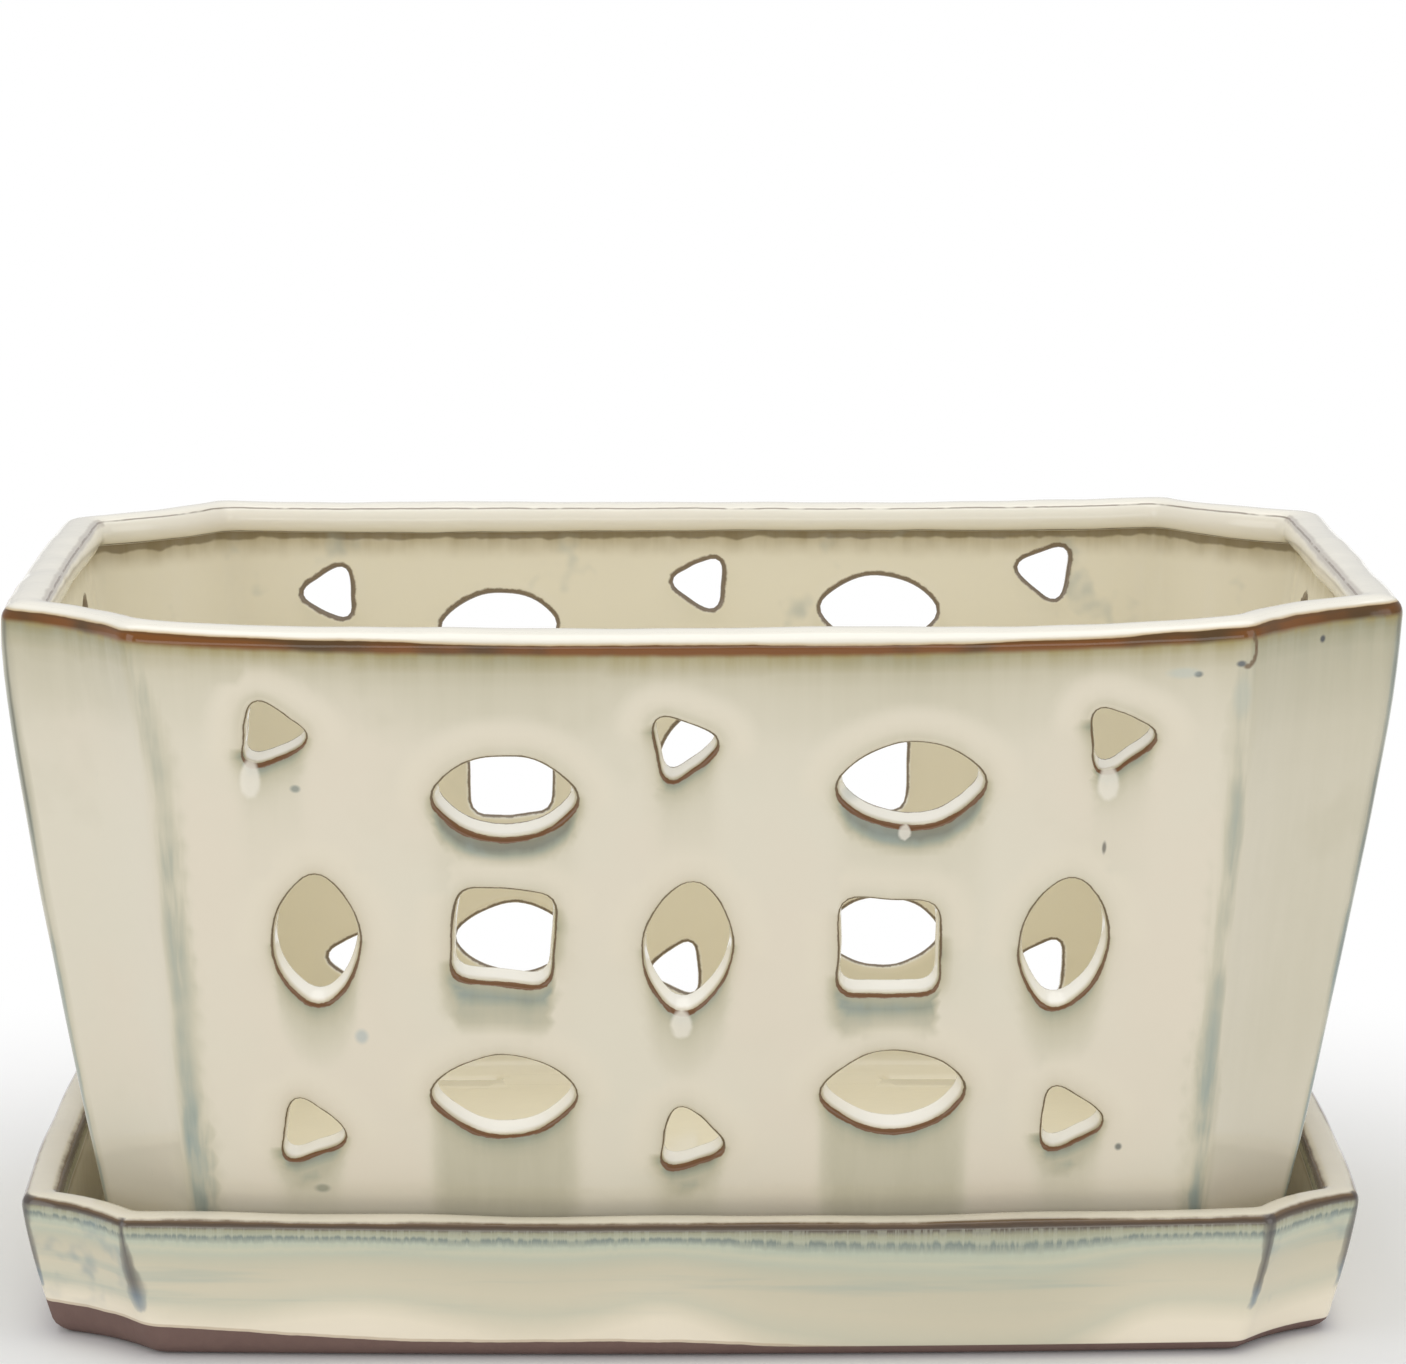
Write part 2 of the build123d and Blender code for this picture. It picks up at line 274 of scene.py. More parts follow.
def slot_loop(name, count, rng):
    """Outline of a slot on the flat, rounded and a little uneven, anticlockwise."""
    w, h, _, rounding, _ = KINDS[name]
    if name == "eye":
        line = arc_pair(w / 2, h / 2)
    elif name == "tall":
        line = arc_pair(h / 2, w / 2)[:, ::-1]
    elif name == "window":
        line = bulged(np.array([(-1, -1), (1, -1), (1, 1), (-1, 1)]) * w / 2, WINDOW_BULGE)
    else:
        line = bulged(np.array([(-w / 3, -h / 2), (2 * w / 3, 0), (-w / 3, h / 2)]), WEDGE_BULGE)
    pts = soften_loop(even_loop(line, 480), rounding)
    ang = np.arctan2(pts[:, 1], pts[:, 0])
    for lobes, size in WANDER:
        swing = size * rng.uniform(-1, 1)
        pts = pts * (1 + swing * np.sin(lobes * ang + rng.uniform(0, ANY_PHASE))[:, None] / (0.5 * h))
    if name == "wedge":
        pts = soften_loop(pts, 0.5)
    pts = even_loop(pts, count)
    area = np.sum(pts[:, 0] * np.roll(pts[:, 1], -1) - np.roll(pts[:, 0], -1) * pts[:, 1])
    return pts if area > 0 else pts[::-1]


# Rows of points round a slot, as distance outside its edge and depth in the wall
LIP, INNER_LIP = 0.9, 1.2
TURNS = [math.radians(a) for a in (0.0, 22.5, 45.0, 67.5, 90.0)]
RINGS = [(2.6, 0.0), (1.7, 0.0), (1.2, 0.0)]
RINGS += [(LIP * (1 - math.sin(a)), LIP * (1 - math.cos(a))) for a in TURNS]
RINGS += [(0.0, 2.0), (0.0, 3.2)]
RINGS += [(INNER_LIP * (1 - math.sin(a)), WALL - INNER_LIP * (1 - math.cos(a))) for a in TURNS[::-1]]
RINGS += [(1.8, WALL), (2.6, WALL)]
RING_RUN = run_along(RINGS)
OUTER_EDGE, INNER_EDGE = RING_RUN[5], RING_RUN[12]      # the middles of the two rounded lips


class Slot:
    """One slot of a wall, placed at distance t along the wall and height z."""

    def __init__(self, side, name, along, up, tilt, rng):
        self.side, self.name, self.kind, self.wall = side, name, KINDS[name], WALLS[side]
        self.t, self.z = along * self.wall.half, SEAT + up * POT_H
        self.lower = self.z < SEAT + 0.4 * POT_H
        a = math.radians(tilt)
        turn = np.array([(math.cos(a), math.sin(a)), (-math.sin(a), math.cos(a))])
        self.loop = slot_loop(name, self.kind.points - (FEWER_POINTS if side else 0), rng) @ turn
        tangent = np.roll(self.loop, -1, axis=0) - np.roll(self.loop, 1, axis=0)
        tangent /= np.linalg.norm(tangent, axis=1)[:, None]
        self.out = np.stack([tangent[:, 1], -tangent[:, 0]], axis=1)
        self.half_w, self.half_h = np.abs(self.loop).max(axis=0)
        # the edge on the outer face, and its lower and upper half from left to right
        self.edge = np.column_stack([self.t + self.loop[:, 0], self.ring(0.0, 0.0)[1]])
        ahead = np.roll(self.edge, -int(np.argmin(self.edge[:, 0])), axis=0)
        half = int(np.argmax(ahead[:, 0]))
        self.low, self.high = ahead[:half + 1], np.vstack([ahead[half:], ahead[:1]])[::-1]
        self.rows, self.flat = [], []

    def ring(self, d, h):
        """S and height of the points at distance d outside the slot's edge and depth h in the wall."""
        wall = self.wall
        top = np.array([0.0, self.half_h])
        p = top + (self.loop - top) * (1 - self.kind.sill * h / WALL / (2 * self.half_h)) + self.out * d
        t = self.t + p[:, 0]
        q = self.z - MIDDLE + p[:, 1] * math.cos(wall.lean)
        z = MIDDLE + q
        plane = between(wall.spread, 0.5) / 2 + q * math.tan(wall.lean)
        off = between(wall.spread, pot_share(z)) / 2 - plane - wall.bow * (t / wall.half) ** 2
        z = z - off * math.sin(wall.lean) + h * math.sin(wall.lean)
        if h == WALL:
            z = np.minimum(z, IN_HIGH - 0.3 - 0.5 * (RINGS[-1][0] - d))
        return POT.s_at(self.side, t, pot_share(z), np.full(len(t), float(h))), z


slot_rng = random.Random(7)
SLOTS = []
for side, wall in enumerate(WALLS):
    SLOTS += [Slot(side, name, *shares, slot_rng) for name, shares in zip(wall.kinds, wall.shares)]


class Maker:
    """Collects points, faces and named values of one mesh."""

    def __init__(self):
        self.pts, self.faces, self.values, self.count = [], [], {}, 0

    def add(self, xyz, **values):
        n = len(xyz)
        self.pts.append(np.asarray(xyz, float))
        for key, val in values.items():
            row = np.broadcast_to(np.asarray(val, float), (n,))
            self.values.setdefault(key, []).append((self.count, row))
        self.count += n
        return np.arange(self.count - n, self.count)

    def strips(self, rows):
        """Quads between closed rows of the same length, upwards and to the right as seen from outside."""
        for a, b in zip(rows, rows[1:]):
            for i in range(len(a)):
                j = (i + 1) % len(a)
                self.faces.append((a[i], a[j], b[j], b[i]))

    def arrays(self):
        out = {key: np.zeros(self.count) for key in self.values}
        for key, rows in self.values.items():
            for start, val in rows:
                out[key][start:start + len(val)] = val
        return np.vstack(self.pts), out


def in_polygon(pts, poly):
    x, y = pts[:, 0], pts[:, 1]
    inside = np.zeros(len(pts), bool)
    for (x0, y0), (x1, y1) in zip(poly, np.roll(poly, -1, axis=0)):
        inside ^= ((y0 > y) != (y1 > y)) & (x < (x1 - x0) * (y - y0) / (y1 - y0 + 1e-12) + x0)
    return inside


def within(pts, poly):
    """Numbers of the points that lie in a small polygon."""
    near = np.where(np.all((pts > poly.min(axis=0)) & (pts < poly.max(axis=0)), axis=1))[0]
    return near[in_polygon(pts[near], poly)]


def loop_edges(ids):
    return list(zip(ids, list(ids[1:]) + [ids[0]]))


def triangulate(points, holes, edges, flip):
    """Triangles over flat points, without those inside the holes, given as lists of point numbers."""
    rings = [edge for hole in holes for edge in loop_edges(hole)]
    out = delaunay_2d_cdt([Vector(p) for p in points], edges + rings, [], 0, 1e-7)
    new = np.array([tuple(v) for v in out[0]])
    origin = [o[0] if o else None for o in out[3]]
    tris = np.array([tuple(f) for f in out[2]])
    mid = new[tris].mean(axis=1)
    keep = np.ones(len(tris), bool)
    for hole in holes:
        keep[within(mid, np.array([points[i] for i in hole]))] = False
    faces = []
    for f in tris[keep]:
        g = [origin[i] for i in f]
        if None in g:
            raise ValueError("a new point appeared in the triangulation")
        a, b, c = (np.array(points[i]) for i in g)
        turn = (b[0] - a[0]) * (c[1] - a[1]) - (b[1] - a[1]) * (c[0] - a[0])
        faces.append(tuple(g[::-1] if (turn < 0) != flip else g))
    return faces


# Rows round the pot
FINE = (0.7, 1.4, 2.1, 3.0)      # distances of the closer rows beside an upright edge
EDGE_OFFSETS = (*(-f for f in FINE[::-1]), 0.0, *FINE)
MIN_GAP = 0.42


def staggered(start, stop, rows, spacing):
    """Points along level rows, of which every other one is shifted by half the spacing."""
    shifts = (0.0, spacing / 2)
    return [(s, z) for r, z in enumerate(rows) for s in np.arange(start + shifts[r % 2], stop, spacing)]


def ring_positions(outline, spacing, extra=()):
    """Positions round an outline, closer together near its upright edges and near extra places."""
    pos = []
    for a, b in zip(outline.starts, outline.starts[1:]):
        pos += list(np.linspace(a, b, max(2, int(round((b - a) / spacing))), endpoint=False))
        for off in FINE:
            pos += [a + off, b - off]
    for place, reach in extra:
        pos += list(np.linspace(place - reach, place + reach, 7))
    pos = np.sort(np.mod(pos, outline.total))
    keep = [pos[0]]
    for p in pos[1:]:
        if p - keep[-1] > MIN_GAP:
            keep.append(p)
    if outline.total - keep[-1] + keep[0] < MIN_GAP:
        keep.pop()
    return np.array(keep)


def arch_mask(s):
    """1 where the foot ring is cut away by the arch of a side."""
    out = np.zeros(len(s))
    for side, half in enumerate(ARCH_HALVES):
        edge = half - np.abs(s - POT.middle(2 * side))
        out = np.maximum(out, np.clip(edge / ARCH_ROUND, 0, 1))
    return np.sqrt(1 - (1 - out) ** 2)


arch_ends = [(POT.middle(2 * side) + way * half - way * ARCH_ROUND / 2, 2.0)
             for side, half in enumerate(ARCH_HALVES) for way in (-1, 1)]
ring_s = ring_positions(POT, 3.0, arch_ends)
# the flat pattern of the walls is cut open in the middle of the front left corner
first = int(np.searchsorted(ring_s, POT.middle(7)))
ring_s = np.concatenate([ring_s[first:] - POT.total, ring_s[:first]])
FIRST_S, LAST_S = ring_s[0], ring_s[0] + POT.total


def rim_shift(xy, z):
    """The rim sags along the long sides and a little at the left end, as fired ware does."""
    x, y = xy[:, 0], xy[:, 1]
    lift = np.clip((z - SAG_LOW) / (TOP - SAG_LOW), 0, 1) ** 1.5
    sag = np.where(y < 0, 1.65, 1.5) * np.clip(1 - (x / 93.0) ** 4, 0, 1) * np.clip(np.abs(y) / 60.0, 0, 1)
    return -lift * (sag + 0.55 * smoothstep(40.0, 95.0, -x))


def pot_points(s, z, depth):
    xy = POT.xy(s, pot_share(z), depth)
    z = np.broadcast_to(np.asarray(z, float), (len(xy),))
    return np.column_stack([xy, z + rim_shift(xy, z)])


pot = Maker()


def add_pot(s, z, depth, **values):
    """Points of the pot away from its slots."""
    far = FAR if depth < WALL / 2 else -FAR
    return pot.add(pot_points(s, z, depth), s=s, z=z, depth=depth, lip=far, inlip=-far, **values)


def pot_row(z, depth, **values):
    return add_pot(ring_s, np.broadcast_to(np.asarray(z, float), (len(ring_s),)), depth, **values)


# from the underside of the floor under the foot and up the outside wall
foot = SEAT + FOOT_H * arch_mask(ring_s)
under_rows = []
for depth, up in (
        (9.4, 9.0), (9.0, 0.9), (8.6, 0.3), (7.6, 0.0), (4.5, 0.0), (1.6, 0.0), (0.8, 0.22), (0.25, 0.75)):
    z = np.minimum(foot + up, UNDER) if depth >= 1.6 else foot + up
    under_rows.append(pot_row(z, depth, zone=UNDERSIDE))
wall_low = []
for f in (0.0, 0.2, 0.45, 0.72, 1.0):
    wall_low.append(pot_row((foot + 1.6) * (1 - f) + OUT_LOW * f, 0.0, zone=OUTER))
pot.strips(under_rows + wall_low)

# from the outside wall over the rolled rim to the inside wall: depth in the wall and drop below the top
RIM_PROFILE = [
    (0.0, 5.3), (0.0, 4.3), (0.0, 3.5), (0.06, 2.9), (0.2, 2.35), (0.45, 1.8), (0.85, 1.25), (1.4, 0.8),
    (2.1, 0.43), (3.0, 0.16), (4.0, 0.02), (4.8, 0.0), (5.6, 0.06), (6.3, 0.2), (6.95, 0.45), (7.5, 0.8),
    (7.95, 1.3), (8.3, 1.95), (8.55, 2.7), (8.65, 3.5), (8.5, 4.3), (8.1, 5.05), (7.5, 5.6), (6.8, 5.95),
    (6.25, 6.08), (5.85, 6.2), (5.6, 6.34), (WALL, 6.5),
]
rim_run = run_along(RIM_PROFILE)
RIM_LENGTH = rim_run[-1]
rim_rows = []
for (depth, drop), run in zip(RIM_PROFILE, rim_run):
    rim_rows.append(pot_row(TOP - drop, depth, zone=RIM, rim=run))
pot.strips(rim_rows)

# down the cove to the floor, which dips at the corners
cove = []
for a in TURNS:
    cove.append(pot_row(FLOOR_TOP + COVE - COVE * math.sin(a), WALL + COVE - COVE * math.cos(a), zone=FLOOR))
corner_dip = 1 - arch_mask(ring_s)
for depth, drop in ((10.2, 0.5), (10.9, 1.35), (11.7, 1.8), (12.5, 1.35), (13.2, 0.5), (14.0, 0.0)):
    cove.append(pot_row(FLOOR_TOP - drop * corner_dip, depth, zone=FLOOR))
inner_low = pot_row(IN_LOW, WALL, zone=INNER)
pot.strips([inner_low] + cove)


# Walls with their slots
def ring_zone(j):
    if j <= 2:
        return OUTER
    return INNER if j >= len(RINGS) - 3 else CUT


for slot in SLOTS:
    for j, (d, h) in enumerate(RINGS):
        s, z = slot.ring(d, h)
        slot.rows.append(pot.add(
            pot_points(s, z, h), s=s, z=z, depth=h, zone=ring_zone(j), down=-slot.out[:, 1],
            lip=OUTER_EDGE - RING_RUN[j], inlip=RING_RUN[j] - INNER_EDGE))
        slot.flat.append(np.column_stack([s, z]))
    pot.strips(slot.rows)


# glaze drips that stand proud: place on the front as x and height, and half sizes
DRIPS = [(-74.9, 103.3, 2.1, 4.0), (-3.0, 59.9, 2.3, 3.0), (68.4, 102.3, 2.2, 3.6), (34.4, 94.0, 1.3, 1.7)]


def front_s(x, z):
    return float(POT.s_at(0, np.array([x]), pot_share(np.array([z])), np.array([0.0]))[0])


def near_slots(step, low_z, high_z, sides):
    """A closer grid of wall points round the slots and where the glaze pools under them."""
    out = []
    for slot in SLOTS:
        if slot.side not in sides:
            continue
        t, z = np.meshgrid(np.arange(slot.t - slot.half_w - 7, slot.t + slot.half_w + 7, step),
                           np.arange(slot.z - slot.half_h - 9, slot.z + slot.half_h + 8, step * ROW_GAP))
        t[::2] += step / 2
        t, z = t.ravel(), z.ravel()
        ok = (z > low_z + 1.0) & (z < high_z - 1.2)
        s = POT.s_at(slot.side, t[ok], pot_share(z[ok]), np.zeros(ok.sum()))
        out.append(np.column_stack([s, z[ok]]))
    out = np.vstack(out)
    out[:, 0] = np.where(out[:, 0] > LAST_S, out[:, 0] - POT.total, out[:, 0])
    return out[(out[:, 0] > FIRST_S + 1) & (out[:, 0] < LAST_S - 1)]


def free_grid(low_z, high_z, spacing, refine):
    """Wall points in an even grid, on upright lines beside the edges and closer together round the drips."""
    rows = np.linspace(low_z, high_z, max(2, int(round((high_z - low_z) / (spacing * ROW_GAP)))) + 1)[1:-1]
    grid = staggered(FIRST_S + spacing * 0.6, LAST_S - spacing * 0.5, rows, spacing)
    for start in POT.starts[:8]:
        for off in EDGE_OFFSETS:
            s = start + off
            if s > LAST_S:
                s -= POT.total
            if s < FIRST_S + 0.3:
                s += POT.total
            if FIRST_S + 0.5 < s < LAST_S - 0.5:
                grid += [(s, z) for z in np.arange(low_z + 3.0, high_z - 2.0, 5.0)]
    for s0, z0, rs, rz, step in refine:
        for s in np.arange(s0 - rs, s0 + rs, step):
            grid += [(s, z) for z in np.arange(z0 - rz, z0 + rz, step) if low_z + 0.5 < z < high_z - 0.5]
    return np.array(grid)


def clear_grid(grid, loops, refine):
    """Leaves out points between the upright lines, in or beside the slots, or too close together."""
    s, z = grid[:, 0], grid[:, 1]
    keep = np.ones(len(grid), bool)
    refined = np.zeros(len(grid), bool)
    for s0, z0, rs, rz, _ in refine:
        refined |= (np.abs(s - s0) <= rs) & (np.abs(z - z0) <= rz)
    half = POT.total / 2
    for start in POT.starts[:8]:
        away = [np.abs((s - start - off + half) % POT.total - half) for off in EDGE_OFFSETS]
        on_line = np.min(away, axis=0) < 1e-6
        keep &= ~((away[len(FINE)] < 4.2) & ~on_line & ~refined)
    for loop in loops:
        mid = loop.mean(axis=0)
        grown = mid + (loop - mid) * (1 + 0.75 / np.linalg.norm(loop - mid, axis=1))[:, None]
        keep[within(grid, grown)] = False
    cells, chosen = set(), []
    for p in grid[keep]:
        key = (int(p[0] / 0.6), int(p[1] / 0.6))
        if not any((key[0] + a, key[1] + b) in cells for a in (-1, 0, 1) for b in (-1, 0, 1)):
            cells.add(key)
            chosen.append(p)
    return np.array(chosen)


def wall_region(low_row, low_z, high_row, high_z, outside, spacing, refine):
    """Fills the outer or the inner face of the walls between two rows, round the slots' rings."""
    depth, zone, ring = (0.0, OUTER, 0) if outside else (WALL, INNER, len(RINGS) - 1)
    pts, ids = [], []

    def put(places, numbers):
        """Adds places on the flat pattern with their points' numbers, and returns their own numbers."""
        pts.extend((float(s), float(z)) for s, z in places)
        ids.extend(numbers)
        return list(range(len(pts) - len(numbers), len(pts)))

    across = np.append(ring_s, LAST_S)
    lows = put([(s, low_z) for s in across], [*low_row, low_row[0]])
    highs = put([(s, high_z) for s in across], [*high_row, high_row[0]])
    seam_z = np.linspace(low_z, high_z, max(2, int(round((high_z - low_z) / 4.0))) + 1)[1:-1]
    seam = add_pot(np.full(len(seam_z), FIRST_S), seam_z, depth, zone=zone)
    left = put([(FIRST_S, z) for z in seam_z], seam)
    right = put([(LAST_S, z) for z in seam_z], seam)
    edges = []
    for chain in (lows, highs, [lows[0], *left, highs[0]], [lows[-1], *right, highs[-1]]):
        edges += list(zip(chain, chain[1:]))
    loops = [slot.flat[ring] for slot in SLOTS]
    holes = [put(slot.flat[ring], slot.rows[ring]) for slot in SLOTS]
    grid = free_grid(low_z, high_z, spacing, refine)
    if outside:
        front, others = near_slots(1.5, low_z, high_z, (0,)), near_slots(2.1, low_z, high_z, (1, 2, 3))
        grid = np.vstack([front, others, grid])
    grid = clear_grid(grid, loops, refine)
    put(grid, add_pot(grid[:, 0], grid[:, 1], depth, zone=zone))
    pot.faces += [tuple(ids[i] for i in f) for f in triangulate(pts, holes, edges, not outside)]


drip_grids = [(front_s(x, z), z, w + 1.6, h + 1.8, 0.8) for x, z, w, h in DRIPS]
wall_region(wall_low[-1], OUT_LOW, rim_rows[0], OUT_HIGH, True, 3.0, drip_grids)
wall_region(inner_low, IN_LOW, rim_rows[-1], IN_HIGH, False, 3.2, [])


# Floors
def flat_region(maker, row, z, holes, spacing, flip, **values):
    """Fills a level outline, leaving round holes, whose own rows are given."""
    pts_all = np.vstack(maker.pts)[:, :2]
    border = pts_all[row]
    pts = [tuple(p) for p in border]
    ids = list(row)
    rings = []
    for hole in holes:
        rings.append(list(range(len(pts), len(pts) + len(hole))))
        pts += [tuple(p) for p in pts_all[hole]]
        ids += list(hole)
    lo, hi = border.min(axis=0), border.max(axis=0)
    grid = np.array(staggered(lo[0], hi[0], np.arange(lo[1], hi[1], spacing * ROW_GAP), spacing))
    mid = border.mean(axis=0)
    shrunk = mid + (border - mid) * (1 - spacing * 0.7 / np.linalg.norm(border - mid, axis=1))[:, None]
    grid = grid[in_polygon(grid, shrunk)]
    for hole in holes:
        middle = pts_all[hole].mean(axis=0)
        r = np.linalg.norm(pts_all[hole] - middle, axis=1).mean()
        grid = grid[np.linalg.norm(grid - middle, axis=1) > r + spacing * 0.5]
    ids += list(maker.add(np.column_stack([grid, np.full(len(grid), z)]), z=z, **values))
    pts += [tuple(p) for p in grid]
    faces = triangulate(pts, rings, loop_edges(list(range(len(row)))), flip)
    kept = in_polygon(np.array(pts)[np.array(faces)].mean(axis=1), border)
    maker.faces += [tuple(ids[i] for i in f) for f, inside in zip(faces, kept) if inside]


# from the floor down through a drain hole to the underside: distance outside its wall, and height
DRAIN_PROFILE = [
    (3.5, FLOOR_TOP), (2.5, FLOOR_TOP), (1.4, FLOOR_TOP - 0.04), (0.75, FLOOR_TOP - 0.25),
    (0.3, FLOOR_TOP - 0.6), (0.05, FLOOR_TOP - 1.2), (0.0, FLOOR_TOP - 3.0), (0.0, UNDER + 0.9),
    (0.12, UNDER + 0.45), (0.5, UNDER + 0.1), (1.1, UNDER), (2.6, UNDER),
]
no_slot = dict(lip=FAR, inlip=FAR)
drains = []
for way in (-1, 1):
    ang = np.linspace(0, 2 * math.pi, DRAIN_POINTS, endpoint=False)
    rows = []
    for wide, z in DRAIN_PROFILE:
        x = way * DRAIN_X + (DRAIN_R + wide) * np.cos(ang)
        y = DRAIN_Y + (DRAIN_R + wide) * np.sin(ang)
        rows.append(pot.add(np.column_stack([x, y, np.full(DRAIN_POINTS, z)]), z=z, zone=DRAIN, **no_slot))
    pot.strips(rows)
    drains.append(rows)
flat_region(pot, cove[-1], FLOOR_TOP, [rows[0] for rows in drains], 5.0, False, zone=FLOOR, **no_slot)
flat_region(pot, under_rows[0], UNDER, [rows[-1] for rows in drains], 7.0, True, zone=UNDERSIDE, **no_slot)


# Values that tell the glaze what to do
def smooth_noise(p, scale, seed):
    """Soft random field of about -1 to 1, as a sum of plane waves."""
    rng = np.random.default_rng(seed)
    out = np.zeros(len(p))
    for _ in range(9):
        d = rng.normal(size=3)
        d /= np.linalg.norm(d)
        out += np.sin(p @ d * (2 * math.pi / scale) * rng.uniform(0.6, 1.4) + rng.uniform(0, ANY_PHASE))
    return out / 3.0


def pool_depth(name, lower, under):
    """How deep the glaze pools at a distance under a slot's lower edge, 0 to 1."""
    u = np.clip(under, 0, None)
    past = np.clip(u - 0.8, 0, None)
    if name == "eye" and not lower:
        out = 1.0 - smoothstep(1.0, 5.6, u) + 0.13 * np.exp(-u / 16)
    elif name == "eye":
        out = 0.31 + 0.5 * np.exp(-past / 1.2)
    elif name == "window":
        out = 0.41 * (1 - smoothstep(6.5, 11.5, u)) + 0.34 * hump(u, 2.6, 1.3) + 0.2 * np.exp(-u / 0.8)
    elif name == "tall":
        out = (0.55 * np.exp(-u / 1.6) + 0.38 * np.exp(-u / 8)) * (1 - smoothstep(10, 15, u))
    else:
        out = 0.72 * np.exp(-past / 1.3) + (0.26 if lower else 0.2) * np.exp(-u / 13)
    return out * smoothstep(-0.4, 0.2, under)


def slot_shade(side, t, z):
    """Pooled glaze under the slots of a wall, pale glaze over them, and distance to the nearest edge."""
    pool, halo, near = np.zeros(len(t)), np.zeros(len(t)), np.full(len(t), FAR)
    for slot in SLOTS:
        m = np.where((slot.side == side) & (np.abs(t - slot.t) < slot.half_w + 9))[0]
        if not len(m):
            continue
        dx = t[m] - slot.t
        under = np.interp(t[m], slot.low[:, 0], slot.low[:, 1]) - z[m]
        over = z[m] - np.interp(t[m], slot.high[:, 0], slot.high[:, 1])
        d = np.full(len(m), FAR)
        close = np.where((under < 12) & (over < 12))[0]
        if len(close):
            flat = np.column_stack([t[m][close], z[m][close]])
            d[close] = np.sqrt(((flat[:, None, :] - slot.edge[None]) ** 2).sum(axis=2)).min(axis=1)
        above = smoothstep(-4.0, 0.5, over)
        pool[m] *= 1 - 0.93 * (1 - smoothstep(3.0, 5.6, d)) * above
        halo[m] = np.maximum(halo[m], smoothstep(1.2, 3.4, d) * (1 - smoothstep(4.2, 8.0, d)) * above)
        half = slot.half_w + (1.2 if slot.name == "window" else 0.0)
        across = 1 - smoothstep(half - 2.4, half + 2.2, np.abs(dx))
        deep = across * pool_depth(slot.name, slot.lower, under) * smoothstep(12.0, 28.0, z[m])
        if slot.name == "wedge" and slot.lower:
            deep = np.maximum(deep, 0.5 * hump(dx, 0.0, 4.5) * hump(under, 4.0, 1.9))
        pool[m] = np.maximum(pool[m], deep)
        near[m] = np.minimum(near[m], d)
    return pool, halo * (1 - np.clip(1.5 * pool, 0, 1)), near


# distances below the rim's brown line, and how much the wall darkens there: partly thin glaze, partly
# painted shade under the rim
RIM_RUNS_AND_SHADE = ((-0.3, 0, 1, 1.6, 3.5, 6, 8.5, 13.5, 18.5, 28), (0, 0.7, 0.62, 0.5, 0.3, 0.21, 0.17, 0.12, 0.04, 0))


